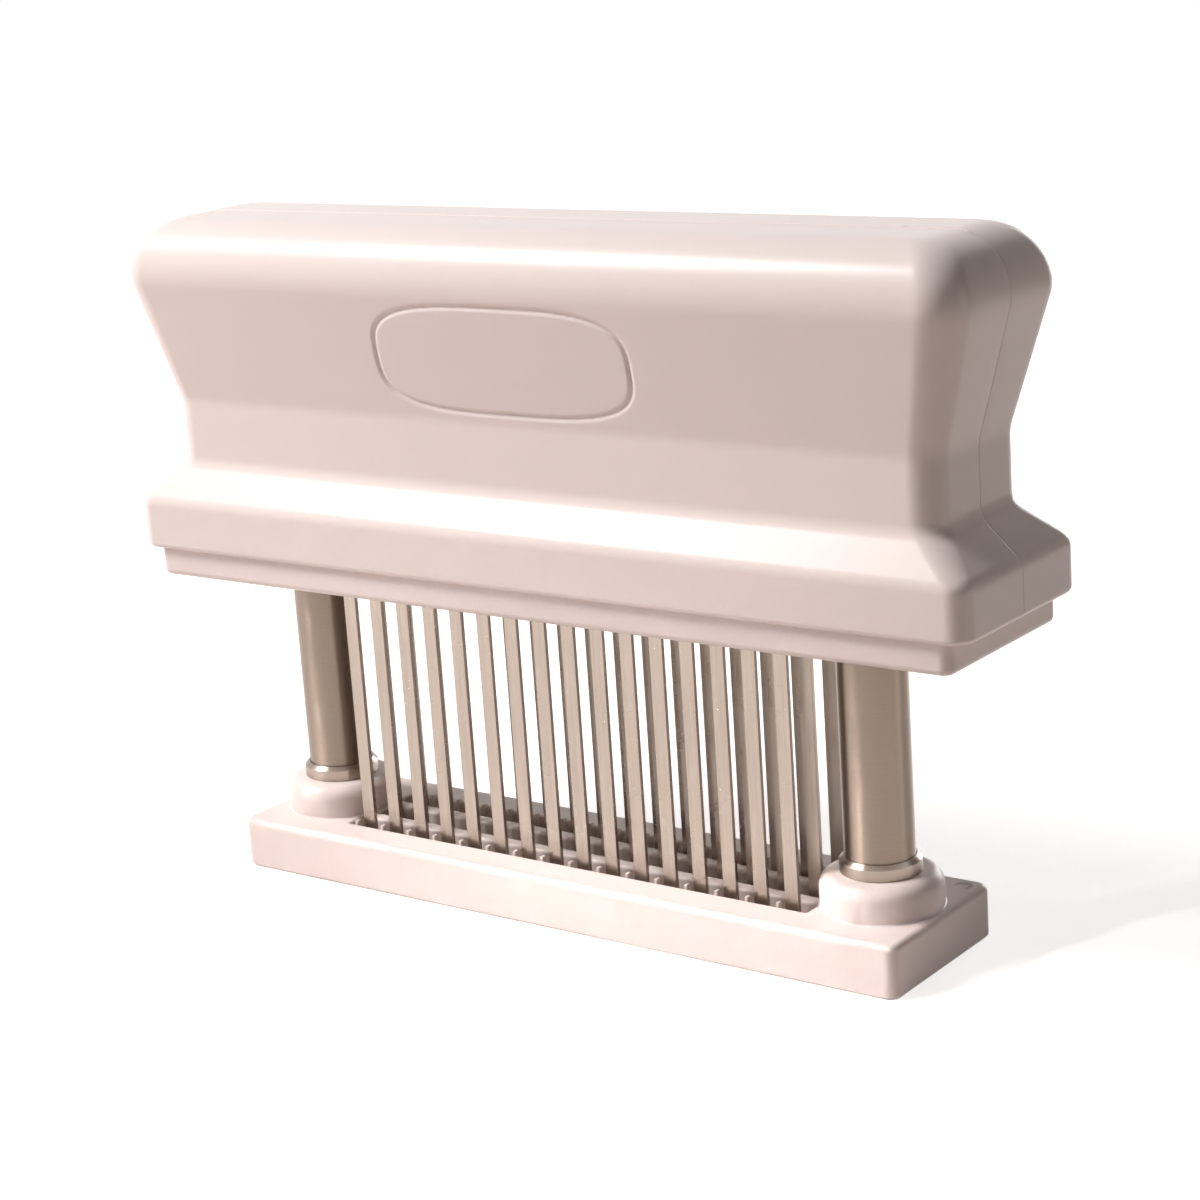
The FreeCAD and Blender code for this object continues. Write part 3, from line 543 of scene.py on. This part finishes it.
def inner_section(mouth, waist, crown):
    """Section of the hollow inside the cover below the crown's arc, and the arc."""
    arc = crown_arc(waist, crown, WALL)
    lower = rounded([
        (mouth, RIM), (mouth, RIM + MOUTH_DEPTH), (waist - WALL, SHOULDER_TOP - WALL),
        (waist - WALL, WAIST_TOP), arc[0],
    ], [MOUTH_ROUND, INNER_SHOULDER_ROUND, INNER_WAIST_ROUND], INNER_STEPS)
    return lower, arc[1:]


def cover_corners(lower, arc):
    """Corner radius of each outline, growing up the slope and shrinking over the crown."""
    levels = (RIM, SKIRT_TOP, SHOULDER_TOP, WAIST_TOP, GRIP_LEVEL)
    radii = (SKIRT_CORNER, SKIRT_CORNER, WAIST_CORNER, WAIST_CORNER, GRIP_CORNER)
    corners = []
    for _, z in lower:
        radius = radii[-1]
        for low, high, start, end in zip(levels, levels[1:], radii, radii[1:]):
            if z < high:
                radius = start + (end - start) * max(0.0, z - low) / (high - low)
                break
        corners.append(radius)
    for _, z in arc:
        share = math.sqrt(max(0.0, 1 - ((z - CROWN_CENTRE) / CROWN_ROUND) ** 2))
        corners.append(TOP_CORNER + (GRIP_CORNER - TOP_CORNER) * share)
    return corners


def between(start, end, share):
    """Pair of numbers part of the way from one pair to another."""
    return tuple(p + (q - p) * share for p, q in zip(start, end))


def refine(rows):
    """Add outlines in the fine band, so that they lie close together there."""
    out = [rows[0]]
    for (end, side, corner), row in zip(rows, rows[1:]):
        next_end, next_side, next_corner = row
        low, high = side[1], next_side[1]
        if high - low > FINE_STEP and high > FINE_LOW and low < FINE_HIGH:
            count = round((high - low) / FINE_STEP)
            for k in range(1, count):
                share = k / count
                ends, sides = between(end, next_end, share), between(side, next_side, share)
                out.append((ends, sides, corner + (next_corner - corner) * share))
        out.append(row)
    return out


def cover_rings():
    """Outlines of the cover: the outside from the flat top down to the rim, and the inside back up."""
    ends = outer_section(SKIRT_X, WAIST_X, CROWN_X)
    sides = outer_section(SKIRT_Y, WAIST_Y, CROWN_Y)
    outer = refine(list(zip(ends[0] + ends[1], sides[0] + sides[1], cover_corners(*sides))))
    for k in range(1, TOP_RINGS + 1):
        inset = (CROWN_Y - PARTING_HALF) * k / TOP_RINGS
        corner = TOP_CORNER * (1 - k / TOP_RINGS) + PARTING_HALF / 2
        outer.append(((CROWN_X - inset, CROWN_TOP), (CROWN_Y - inset, CROWN_TOP), corner))
    ends = inner_section(SKIRT_X - MOUTH_INSET_X, WAIST_X, CROWN_X)
    sides = inner_section(SKIRT_Y - MOUTH_INSET_Y, WAIST_Y, CROWN_Y)
    corners = [max(INNER_CORNER, corner - WALL) for corner in cover_corners(*sides)]
    inner = zip(ends[0] + ends[1], sides[0] + sides[1], corners)
    return [cover_ring(*row) for row in outer[::-1]], [cover_ring(*row) for row in inner]


def badge_groove(x, z):
    """Depth of the shallow groove round the bare badge place on the front of the grip."""
    u, v = abs(x - BADGE_X) / BADGE_HALF_X, abs(z - BADGE_Z) / BADGE_HALF_Z
    if max(u, v) > BADGE_FAR or max(u, v) < BADGE_NEAR:
        return 0.0
    value = u ** BADGE_POWER + v ** BADGE_POWER
    slope_x = BADGE_POWER * u ** (BADGE_POWER - 1) / BADGE_HALF_X
    slope_z = BADGE_POWER * v ** (BADGE_POWER - 1) / BADGE_HALF_Z
    distance = (value - 1) / math.hypot(slope_x, slope_z)
    return BADGE_DEPTH * math.exp(-(distance / BADGE_GROOVE) ** 2)


def seam(x, y, z):
    """Point moved inwards where the mould's parting line runs over the ends and the crown."""
    depth = SEAM_DEPTH * math.exp(-(y / SEAM_WIDTH) ** 2)
    if z < CROWN_CENTRE:
        return x - math.copysign(depth, x), y, z
    centre = math.copysign(min(abs(x), CROWN_X), x)
    arm = Vector((x - centre, z - CROWN_CENTRE)).normalized()
    return x - depth * arm.x, y, z - depth * arm.y


def parting_step(z):
    """Drop of the front half of the mould beside the back half, which fades out below the top."""
    return PARTING_DROP * max(0.0, (z - CROWN_TOP) / PARTING_FADE + 1) ** 2


def work_in_details(x, y, z):
    """Point of the outside once the badge's groove, the seam and the parting step are in it."""
    if y < GRIP_FRONT and WAIST_TOP < z < CROWN_CENTRE:
        depth = badge_groove(x, z)
        y += depth * math.cos(GRIP_LEAN)
        z += depth * math.sin(GRIP_LEAN)
    if abs(y) < SEAM_REACH and z < SEAM_TOP:
        x, y, z = seam(x, y, z)
    if y < 0:
        z -= parting_step(z)
    return x, y, z


def make_housing():
    """Hollow cover with a skirt, a shoulder, a waist and a grip that bulges to a rounded crown."""
    outer, inner = cover_rings()
    points = [work_in_details(*point) for ring in outer for point in ring]
    points += [point for ring in inner for point in ring]
    verts = [(x * MM, y * MM, z * MM) for x, y, z in points]
    obj = add_object("housing_shell", verts, bridge(outer + inner))
    face_outwards(obj)
    sharpen(obj, degrees=50)
    for edge in obj.data.edges:
        places = [obj.data.vertices[k].co for k in edge.vertices]
        if all(abs(co.y) < PARTING_EDGE * MM and co.z > SEAM_TOP * MM for co in places):
            edge.use_edge_sharp = True
    weigh_normals(obj)
    finish_piece(obj, "white_moulding", HEAD, "housing")


# ---------------------------------------------------------------- base plate and retainer plate

BASE_TOP, FLOOR = 7.9 * MM, 2.9 * MM
BASE_ROUND, BASE_FOOT, FOOT_ROUND = 1.1 * MM, 0.5 * MM, 0.3 * MM
BASE_CORNER, BASE_LEAST_CORNER = 2.0 * MM, 0.5 * MM

# well for the blades: its opening, the bars between its channels and the nibs along its sides
CHANNEL_END, CHANNEL_SIDE = 3.1 * MM, 1.6 * MM
OPENING_X, OPENING_Y = LAST_BLADE_X + CHANNEL_END, BLADE_Y[-1] + CHANNEL_SIDE
OPENING_ROUND, OPENING_CORNER = 0.5 * MM, 0.2 * MM
SLOT_GAP = 0.3 * MM
LAND, LAND_ROUND, LAND_SUNK, LAND_PAST = 2.3 * MM, 0.6 * MM, 0.5 * MM, 0.3 * MM
LAND_BOTTOM = FLOOR - LAND_SUNK
NIB, NIB_GAP, NIB_DEPTH, NIB_RISE, NIB_ROUND = 0.5 * MM, 0.2 * MM, 0.9 * MM, 0.55 * MM, 0.12 * MM
NIB_SUNK = 0.1 * MM

# sockets for the columns, their sunk screws, their bosses and the mark of an ejector pin
SOCKET_GAP = 0.05 * MM
SOCKET, SOCKET_FLOOR = COLUMN_RADIUS + SOCKET_GAP, 4.0 * MM
SINK_RADIUS, SINK_TOP, SCREW_HOLE = 3.9 * MM, 2.5 * MM, 2.15 * MM
BOSS_RADIUS, BOSS_ROUND, BOSS_EDGE, BOSS_BOTTOM = 8.75 * MM, 2.2 * MM, 0.1 * MM, FLOOR + 1.0 * MM
FILLET, FILLET_ROUND, FILLET_SUNK, FILLET_INSIDE = 0.3 * MM, 0.27 * MM, 0.1 * MM, 1.0 * MM
PIN_X, PIN_Y, PIN_RADIUS, PIN_DEPTH = 56.6 * MM, 10.6 * MM, 1.3 * MM, 0.06 * MM

# retainer plate: lip, spigot and guide tubes, and the holes for bushes and cover screws
LIP_ROUND, LIP_CORNER, LIP_LEAST_CORNER, LIP_SEAT = 1.0 * MM, 1.8 * MM, 0.6 * MM, 1.35 * MM
LIP_TOP, SPIGOT_TOP, SPIGOT_ROUND = RIM * MM, (RIM + SPIGOT_HEIGHT) * MM, 0.2 * MM
GUIDE_RADIUS, GUIDE_SUNK, GUIDE_TOP = 8.0 * MM, 1.0 * MM, SPIGOT_TOP + GUIDE_HEIGHT * MM
BUSH_FLANGE = 1.17 * MM
BUSH_BORE = BUSH.x - COLUMN_X - BUSH_FLANGE
COVER_HEAD_RADIUS, COVER_SINK_RADIUS, COVER_SINK_DEPTH, COVER_HOLE = 3.0 * MM, 3.4 * MM, 2.4 * MM, 1.7 * MM
COVER_SCREW_X, COVER_SINK_TOP = COVER_SCREWS.x - COVER_HEAD_RADIUS, LIP_LOW.z + COVER_SINK_DEPTH


def blade_slots(work, gap, low, high):
    """Walls of the slot round every blade, through a plate."""
    half_x, half_y = BLADE_WIDTH / 2 + gap, BLADE_THICKNESS / 2 + gap
    walls = []
    for x in BLADE_X:
        for y in BLADE_Y:
            walls.append(add_wall(work, [box_ring(x, y, half_x, half_y, z) for z in (low, high)]))
    return walls


def make_base_plate():
    """Slab with a slotted well for the blades, and sockets and sunk screw holes for the columns."""
    work = bmesh.new()
    section = rounded([
        (BASE.x - BASE_FOOT, 0.0), (BASE.x, BASE_FOOT),
        (BASE.x, BASE_TOP), (BASE.x - 2 * BASE_ROUND, BASE_TOP),
    ], [FOOT_ROUND, BASE_ROUND], steps=8)
    foot, top = add_wall(work, inset_rings(section, BASE.x, BASE.y, BASE_CORNER, BASE_LEAST_CORNER))
    section = rounded([
        (OPENING_X + 2 * OPENING_ROUND, BASE_TOP), (OPENING_X, BASE_TOP), (OPENING_X, FLOOR),
    ], [OPENING_ROUND])
    rings = inset_rings(section, OPENING_X, OPENING_Y, OPENING_CORNER, OPENING_CORNER, steps=4)
    brink, well = add_wall(work, rings)
    slots = blade_slots(work, SLOT_GAP, 0.0, FLOOR)
    holes = []
    for _, side in ENDS:
        holes.append(round_wall(work, side * COLUMN_X, (
            (SINK_RADIUS, 0.0), (SINK_RADIUS, SINK_TOP), (SCREW_HOLE, SINK_TOP),
            (SCREW_HOLE, SOCKET_FLOOR), (SOCKET, SOCKET_FLOOR), (SOCKET, BASE_TOP),
        )))
    pin = (PIN_RADIUS, BASE_TOP - PIN_DEPTH), (PIN_RADIUS, BASE_TOP)
    pin_floor, pin_rim = round_wall(work, PIN_X, pin, y=PIN_Y, segments=32)
    close_level(work, pin_floor)
    close_level(work, foot, *[wall[0] for wall in slots + holes])
    close_level(work, well, *[wall[1] for wall in slots])
    close_level(work, top, brink, pin_rim, *[wall[1] for wall in holes])
    finish_piece(finish_mesh(work, "base_slab"), "white_moulding", BASE_BODY, "base_plate")


def make_lands():
    """Two rounded bars between the channels that the rows of blades pass through."""
    work = bmesh.new()
    half, reach = LAND / 2, OPENING_X + LAND_PAST
    outline = rounded([
        (-half, LAND_BOTTOM), (-half, BASE_TOP), (half, BASE_TOP), (half, LAND_BOTTOM),
    ], [LAND_ROUND, LAND_ROUND])
    for ahead, behind in zip(BLADE_Y, BLADE_Y[1:]):
        y = (ahead + behind) / 2
        add_prism(work, [(-reach, y + py, pz) for py, pz in outline], (2 * reach, 0, 0))
    finish_piece(finish_mesh(work, "base_lands"), "white_moulding", BASE_BODY)


def make_nibs():
    """Nibs that stand up along the front and the back wall of the well, one beside each blade."""
    work = bmesh.new()
    reach, wall, top = BLADE_WIDTH / 2 + NIB_GAP, OPENING_Y + NIB_SUNK, BASE_TOP + NIB_RISE
    for x in BLADE_X:
        for side in (-1, 1):
            start, near, far = x + side * reach, side * (wall - NIB_DEPTH), side * wall
            places = (near, LAND_BOTTOM), (near, top), (far, top), (far, LAND_BOTTOM)
            add_prism(work, [(start, y, z) for y, z in places], (side * NIB, 0, 0))
    round_edges(work, list(work.edges), NIB_ROUND)
    finish_piece(finish_mesh(work, "base_nibs", sharp=60), "white_moulding", BASE_BODY)


def make_boss(end, side):
    """Round boss that a column stands in, with a rounded top and a small fillet at its foot."""
    x, top = side * COLUMN_X, FERRULE_LOW.z
    outline = rounded([
        (SOCKET, BOSS_BOTTOM), (BOSS_RADIUS, BOSS_BOTTOM), (BOSS_RADIUS, top),
        (SOCKET + BOSS_EDGE, top), (SOCKET, top),
    ], [BOSS_EDGE, BOSS_ROUND, 0.0], steps=12)
    boss = lathe("boss_" + end, outline, x, sharp=40, segments=160)
    weigh_normals(boss)
    inside, outside = BOSS_RADIUS - FILLET_INSIDE, BOSS_RADIUS + FILLET
    outline = rounded([
        (inside, BASE_TOP - FILLET_SUNK), (outside, BASE_TOP - FILLET_SUNK), (outside, BASE_TOP),
        (BOSS_RADIUS, BASE_TOP), (BOSS_RADIUS, BASE_TOP + FILLET), (inside, BASE_TOP + FILLET),
    ], [0.0, 0.0, FILLET_ROUND, 0.0])
    fillet = lathe("boss_fillet_" + end, outline, x, sharp=60, segments=160)
    for piece in (boss, fillet):
        finish_piece(piece, "white_moulding", BASE_BODY)


def make_retainer_plate():
    """Lip under the housing, drilled for blades, bushes and screws, with its spigot above."""
    work = bmesh.new()
    seat = LIP_HIGH.x - LIP_SEAT
    section = rounded([
        (LIP_HIGH.x - 2 * LIP_ROUND, LIP_LOW.z), (LIP_HIGH.x, LIP_LOW.z),
        (LIP_HIGH.x, LIP_TOP), (seat, LIP_TOP), (seat, SPIGOT_TOP),
    ], [LIP_ROUND, SPIGOT_ROUND, 0.0], steps=8)
    foot, top = add_wall(work, inset_rings(section, LIP_HIGH.x, LIP_HIGH.y, LIP_CORNER, LIP_LEAST_CORNER))
    slots = blade_slots(work, SLOT_GAP / 2, LIP_LOW.z, SPIGOT_TOP)
    holes = []
    for _, side in ENDS:
        holes.append(round_wall(work, side * COLUMN_X, ((BUSH_BORE, LIP_LOW.z), (BUSH_BORE, SPIGOT_TOP))))
        holes.append(round_wall(work, side * COVER_SCREW_X, (
            (COVER_SINK_RADIUS, LIP_LOW.z), (COVER_SINK_RADIUS, COVER_SINK_TOP),
            (COVER_HOLE, COVER_SINK_TOP), (COVER_HOLE, SPIGOT_TOP),
        )))
    close_level(work, foot, *[wall[0] for wall in slots + holes])
    close_level(work, top, *[wall[1] for wall in slots + holes])
    finish_piece(finish_mesh(work, "retainer_slab"), "white_moulding", HEAD, "retainer_plate")


def make_guide_tubes():
    """Tube on the spigot round the upper part of each guide bush."""
    bottom = SPIGOT_TOP - GUIDE_SUNK
    profile = (
        (BUSH_BORE, bottom), (GUIDE_RADIUS, bottom), (GUIDE_RADIUS, GUIDE_TOP), (BUSH_BORE, GUIDE_TOP),
    )
    for end, side in ENDS:
        obj = lathe("guide_tube_" + end, profile, side * COLUMN_X, sharp=40)
        finish_piece(obj, "white_moulding", HEAD)


# ---------------------------------------------------------------- columns, ferrules and springs

COLUMN_WALL, COLUMN_EDGE = 0.8 * MM, 0.25 * MM
FERRULE_GAP, FERRULE_SLOPE, FERRULE_RIM = 0.08 * MM, 0.6 * MM, 0.2 * MM
FERRULE_ROUNDS = (0.12 * MM, 0.25 * MM, 0.1 * MM)
SPRING_TURNS, SPRING_RADIUS, SPRING_STEPS = 22, 2.95 * MM, 28
WIRE, WIRE_SIDES = 0.45 * MM, 10


def make_column(name, side):
    bottom, top = COLUMN_LOW.z, COLUMN_HIGH.z
    bore, shoulder = COLUMN_RADIUS - COLUMN_WALL, COLUMN_RADIUS - COLUMN_EDGE
    profile = (
        (bore, bottom), (shoulder, bottom), (COLUMN_RADIUS, bottom + COLUMN_EDGE),
        (COLUMN_RADIUS, top - COLUMN_EDGE), (shoulder, top), (bore, top),
    )
    obj = lathe(name + "_tube", profile, side * COLUMN_X, sharp=30)
    finish_piece(obj, "column_steel", BASE_BODY, name)


def make_ferrule(name, side):
    """Ring round the foot of a column, with a shoulder that slopes in to the column."""
    bottom, top = FERRULE_LOW.z, FERRULE_HIGH.z
    bore = COLUMN_RADIUS + FERRULE_GAP
    outline = rounded([
        (bore, bottom), (FERRULE_RADIUS, bottom), (FERRULE_RADIUS, top - FERRULE_SLOPE),
        (bore + FERRULE_RIM, top), (bore, top),
    ], FERRULE_ROUNDS, steps=5)
    obj = lathe(name + "_ring", outline, side * COLUMN_X, sharp=40)
    finish_piece(obj, "ferrule_steel", BASE_BODY, name)


def make_spring(name, side):
    """Helix of round wire, built at one length from the foot plug to the top of the spring; on the real
    tool the head's travel shortens it.
    """
    low, high = PLUG_TOP + WIRE, SPRING_TOP - WIRE
    count = SPRING_TURNS * SPRING_STEPS
    round_wire = [2 * PI * k / WIRE_SIDES for k in range(WIRE_SIDES)]
    rings = []
    for k in range(count + 1):
        angle = 2 * PI * k / SPRING_STEPS
        x, y = SPRING_RADIUS * math.cos(angle), SPRING_RADIUS * math.sin(angle)
        centre = Vector((side * COLUMN_X + x, y, low + (high - low) * k / count))
        out = Vector((math.cos(angle), math.sin(angle), 0))
        rings.append([centre + out * (WIRE * math.cos(a)) + UP * (WIRE * math.sin(a)) for a in round_wire])
    obj = add_object(name + "_coil", [v for ring in rings for v in ring], bridge(rings))
    face_outwards(obj)
    finish_piece(obj, "spring_wire", BASE_BODY, name)
    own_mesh(obj)


# ---------------------------------------------------------------- screws under the base and the head

COLUMN_SCREW_HEAD, COLUMN_SCREW_SHANK = 2.0 * MM, 1.95 * MM
COVER_SCREW_HEAD, COVER_SCREW_SHANK = 1.9 * MM, 1.5 * MM
SCREW_EDGE, SCREW_TIP = 0.45 * MM, 0.4 * MM
CROSS_HALF, CROSS_SHARE, CROSS_DEPTH, CROSS_TAPER = 0.36 * MM, 0.56, 1.0 * MM, 0.8


def cross_ring(x, reach, half, z):
    """Outline of a cross recess about a point."""
    corners = ((reach, -half), (reach, half), (half, half), (half, reach), (-half, reach), (-half, half))
    return [(x + side * px, side * py, z) for side in (1, -1) for px, py in corners]


def make_upward_screws(name, x, head_height, shank, body):
    """Pair of pan head screws driven upwards, each with a cross recess in its rounded head."""
    low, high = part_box(name)
    head = high.x - x
    seat, reach = low.z + head_height, head * CROSS_SHARE
    outline = rounded([
        (head - 2 * SCREW_EDGE, low.z), (head, low.z), (head, seat), (shank, seat),
        (shank, high.z - SCREW_TIP), (shank - SCREW_TIP, high.z),
    ], [SCREW_EDGE, 0.0, 0.0, 0.0], steps=5)
    work = bmesh.new()
    for place in (-x, x):
        face, tip = round_wall(work, place, outline, segments=48)
        brim, pit = add_wall(work, [
            cross_ring(place, reach * share, CROSS_HALF * share, z)
            for share, z in ((1.0, low.z), (CROSS_TAPER, low.z + CROSS_DEPTH))
        ])
        close_level(work, face, brim)
        close_level(work, pit)
        close_level(work, tip)
    finish_piece(finish_mesh(work, name + "_pair"), "screw_steel", body, name)


# ---------------------------------------------------------------- blades

# edges that turn by more than the crease, in radians, are rounded
BLADE_EDGE, BLADE_CREASE = 0.07 * MM, 0.3
TIP_SLANT, TIP_GRIND, TIP_SHARE = 2.4 * MM, 0.9 * MM, 0.25
HEAD_HEIGHT, HEAD_CHAMFER = 1.6 * MM, 0.15 * MM


def make_blade_row(name):
    """Row of flat strips with T heads and slanted tips that are ground thin."""
    low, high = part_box(name)
    middle, half = (low.y + high.y) / 2, BLADE_THICKNESS / 2
    neck = high.z - HEAD_HEIGHT
    levels = (
        (BLADE_WIDTH / 2, half * TIP_SHARE, low.z, TIP_SLANT),
        (BLADE_WIDTH / 2, half, low.z + TIP_GRIND, TIP_SLANT),
        (BLADE_WIDTH / 2, half, neck, 0.0),
        (BLADE_HEAD / 2, half, neck + HEAD_CHAMFER, 0.0),
        (BLADE_HEAD / 2, half, high.z, 0.0),
    )
    work = bmesh.new()
    for x in BLADE_X:
        rings = []
        for half_x, half_y, z, slant in levels:
            ring = box_ring(x, middle, half_x, half_y, z)
            rings.append([(px, py, pz + slant if px < x else pz) for px, py, pz in ring])
        for loop in add_wall(work, rings):
            bmesh.ops.contextual_create(work, geom=loop)
    bmesh.ops.recalc_face_normals(work, faces=work.faces)
    round_edges(work, [edge for edge in work.edges if edge.calc_face_angle(0) > BLADE_CREASE], BLADE_EDGE)
    finish_piece(finish_mesh(work, name + "_strips", sharp=50), "blade_steel", HEAD, name)


# ---------------------------------------------------------------- camera, floor and light

# the camera's place, its direction from the tool in radians, and its lens
CAMERA_PLACE = Vector((238.6447, -309.4963, 150.2590)) * MM
CAMERA_AZIMUTH, CAMERA_ELEVATION, CAMERA_ROLL = 0.648541, 0.260348, -0.0683676
CAMERA_LENS, CAMERA_SENSOR, CAMERA_CLIP = 83.068, 36.0, 0.01

# softboxes: azimuth from the front towards the right and elevation in degrees, size, energy in watts
SOFTBOXES = (
    ("key", -58, 47, 0.28, 9.1),
    ("fill", -50, 20, 0.6, 1.9),
    ("end", 112, -2, 0.3, 0.8),
    ("back", 180, 5, 0.4, 3.0),
)
LIGHT_AIM, LIGHT_REACH = Vector((0, 0, 0.06)), 0.9
ROOM_LIGHT = 0.045

# narrow lamps that brighten the front of the base: places, direction, size, energy, spread in degrees
BASE_LIGHTS_X, BASE_LIGHT, BASE_LIGHT_SIZE = (-0.015, 0.025, 0.062), (-35, 24), 0.05
BASE_LIGHT_ENERGY, BASE_LIGHT_SPREAD = 0.0042, 5

# paper, whose lift to plain white grows between two distances from the tool in millimetres
FLOOR_HALF, PAPER, PAPER_ROUGHNESS, PAPER_SHINE = 1.6, (0.68, 0.60, 0.56), 0.9, 0.1
PAPER_LIFT, SHADOW_END, WHITE_START = 0.76, 150.0, 400.0

# dark card, which fades from the paper's colour to its own over a height in millimetres
CARD_AZIMUTH, CARD_REACH, CARD_HALF, CARD_HEIGHT = 142, 0.55, 0.24, 0.5
CARD, CARD_FADE = (0.10, 0.08, 0.07), 220.0


def away(azimuth, elevation):
    """Direction from the tool, azimuth from the front towards the right, both in radians."""
    level = math.cos(elevation)
    return Vector((level * math.sin(azimuth), -level * math.cos(azimuth), math.sin(elevation)))


def make_camera():
    back = away(CAMERA_AZIMUTH, CAMERA_ELEVATION)
    right = (-back).cross(UP).normalized()
    up = right.cross(-back)
    level = right * math.cos(CAMERA_ROLL) + up * math.sin(CAMERA_ROLL)
    upright = -right * math.sin(CAMERA_ROLL) + up * math.cos(CAMERA_ROLL)
    data = bpy.data.cameras.new("camera")
    data.sensor_width = CAMERA_SENSOR
    data.lens = CAMERA_LENS
    data.clip_start = CAMERA_CLIP
    camera = link_object("camera", data)
    camera.matrix_world = Matrix((
        (level.x, upright.x, back.x, CAMERA_PLACE.x),
        (level.y, upright.y, back.y, CAMERA_PLACE.y),
        (level.z, upright.z, back.z, CAMERA_PLACE.z),
        (0, 0, 0, 1),
    ))
    bpy.context.scene.camera = camera


def make_area(name, direction, aim, size, energy):
    """Square lamp that shines at a point from a direction in degrees."""
    data = bpy.data.lights.new(name, "AREA")
    data.shape = "SQUARE"
    data.size = size
    data.energy = energy
    lamp = link_object(name, data)
    lamp.location = aim + away(*map(math.radians, direction)) * LIGHT_REACH
    lamp.rotation_euler = (aim - lamp.location).to_track_quat("-Z", "Y").to_euler()
    return lamp


def make_lights():
    for name, azimuth, elevation, size, energy in SOFTBOXES:
        make_area(name, (azimuth, elevation), LIGHT_AIM, size, energy)
    for x in BASE_LIGHTS_X:
        lamp = make_area("low", BASE_LIGHT, Vector((x, 0, 0)), BASE_LIGHT_SIZE, BASE_LIGHT_ENERGY)
        lamp.data.spread = math.radians(BASE_LIGHT_SPREAD)


def seen_or_mirrored(tree):
    """One for rays from the camera and for rays mirrored or let through by the object."""
    path = node(tree, "ShaderNodeLightPath")
    value = path.outputs["Is Camera Ray"]
    for kind in ("Is Glossy Ray", "Is Transmission Ray"):
        either = node(tree, "ShaderNodeMath", operation="MAXIMUM")
        tree.links.new(value, either.inputs[0])
        tree.links.new(path.outputs[kind], either.inputs[1])
        value = either.outputs[0]
    return value


def combine(tree, kind, first, second, out):
    """Mix or sum of two shaders, sent to the output; gives the node."""
    made = node(tree, kind)
    tree.links.new(first.outputs[0], made.inputs[-2])
    tree.links.new(second.outputs[0], made.inputs[-1])
    tree.links.new(made.outputs[0], out.inputs["Surface"])
    return made


def make_world():
    """White to look at, with a little soft light from all round."""
    world = bpy.data.worlds.new("studio")
    bpy.context.scene.world = world
    world.use_nodes = True
    tree = world.node_tree
    tree.nodes.clear()
    soft = node(tree, "ShaderNodeBackground", Color=(1, 1, 1, 1), Strength=ROOM_LIGHT)
    white = node(tree, "ShaderNodeBackground", Color=(1, 1, 1, 1), Strength=1.0)
    mix = combine(tree, "ShaderNodeMixShader", soft, white, node(tree, "ShaderNodeOutputWorld"))
    tree.links.new(seen_or_mirrored(tree), mix.inputs["Fac"])


def stage_sheet(name, corners, material):
    """Flat sheet of the set, which is no piece of the part."""
    obj = add_object(name, corners, [(0, 1, 2, 3)])
    obj.data.materials.append(material)


def make_floor():
    """Pale paper that takes the shadow near the tool and turns plain white farther out."""
    material, tree, shader = new_material(
        "floor_paper", Roughness=PAPER_ROUGHNESS, Specular_IOR_Level=PAPER_SHINE,
    )
    tint(tree, shader, noise(tree, scale=0.02, detail=4), shade(PAPER, 0.99), shade(PAPER, 1.01))
    far = node(tree, "ShaderNodeVectorMath", operation="LENGTH")
    tree.links.new(spot(tree), far.inputs[0])
    lift = spread(tree, far.outputs["Value"], PAPER_LIFT, 1.0, SHADOW_END, WHITE_START)
    share = node(tree, "ShaderNodeMath", operation="MULTIPLY")
    tree.links.new(seen_or_mirrored(tree), share.inputs[0])
    tree.links.new(lift, share.inputs[1])
    glow = node(tree, "ShaderNodeEmission", Color=(1, 1, 1, 1))
    tree.links.new(share.outputs[0], glow.inputs["Strength"])
    combine(tree, "ShaderNodeAddShader", shader, glow, tree.nodes["Material Output"])
    stage_sheet("floor", box_ring(0, 0, FLOOR_HALF, FLOOR_HALF, 0), material)


def make_card():
    """Dark card at the back right for the shaded end to mirror, that the camera itself looks through."""
    material, tree, shader = new_material("dark_card", Roughness=PAPER_ROUGHNESS)
    height = node(tree, "ShaderNodeSeparateXYZ")
    tree.links.new(spot(tree), height.inputs[0])
    share = spread(tree, height.outputs["Z"], 0.0, 1.0, 0.0, CARD_FADE)
    tint(tree, shader, share, shade(PAPER), shade(CARD), start=0.0)
    clear = node(tree, "ShaderNodeBsdfTransparent")
    mix = combine(tree, "ShaderNodeMixShader", shader, clear, tree.nodes["Material Output"])
    tree.links.new(node(tree, "ShaderNodeLightPath").outputs["Is Camera Ray"], mix.inputs["Fac"])
    place = away(math.radians(CARD_AZIMUTH), 0) * CARD_REACH
    along = Vector((-place.y, place.x, 0)).normalized() * CARD_HALF
    foot, rise = (place - along, place + along), UP * CARD_HEIGHT
    stage_sheet("card", [*foot, foot[1] + rise, foot[0] + rise], material)


# ---------------------------------------------------------------- the scene

make_camera()
make_world()
make_floor()
make_card()
make_lights()
dress_cad_nodes()
make_housing()
make_base_plate()
make_lands()
make_nibs()
make_retainer_plate()
make_guide_tubes()
for end, side in ENDS:
    make_boss(end, side)
    make_column("column_" + end, side)
    make_ferrule("ferrule_" + end, side)
    make_spring("spring_" + end, side)
make_upward_screws("column_screws", COLUMN_X, COLUMN_SCREW_HEAD, COLUMN_SCREW_SHANK, BASE_BODY)
make_upward_screws("cover_screws", COVER_SCREW_X, COVER_SCREW_HEAD, COVER_SCREW_SHANK, HEAD)
for row in ROW_NAMES:
    make_blade_row("blades_%s_row" % row)

bpy.context.scene.view_settings.view_transform = "Standard"
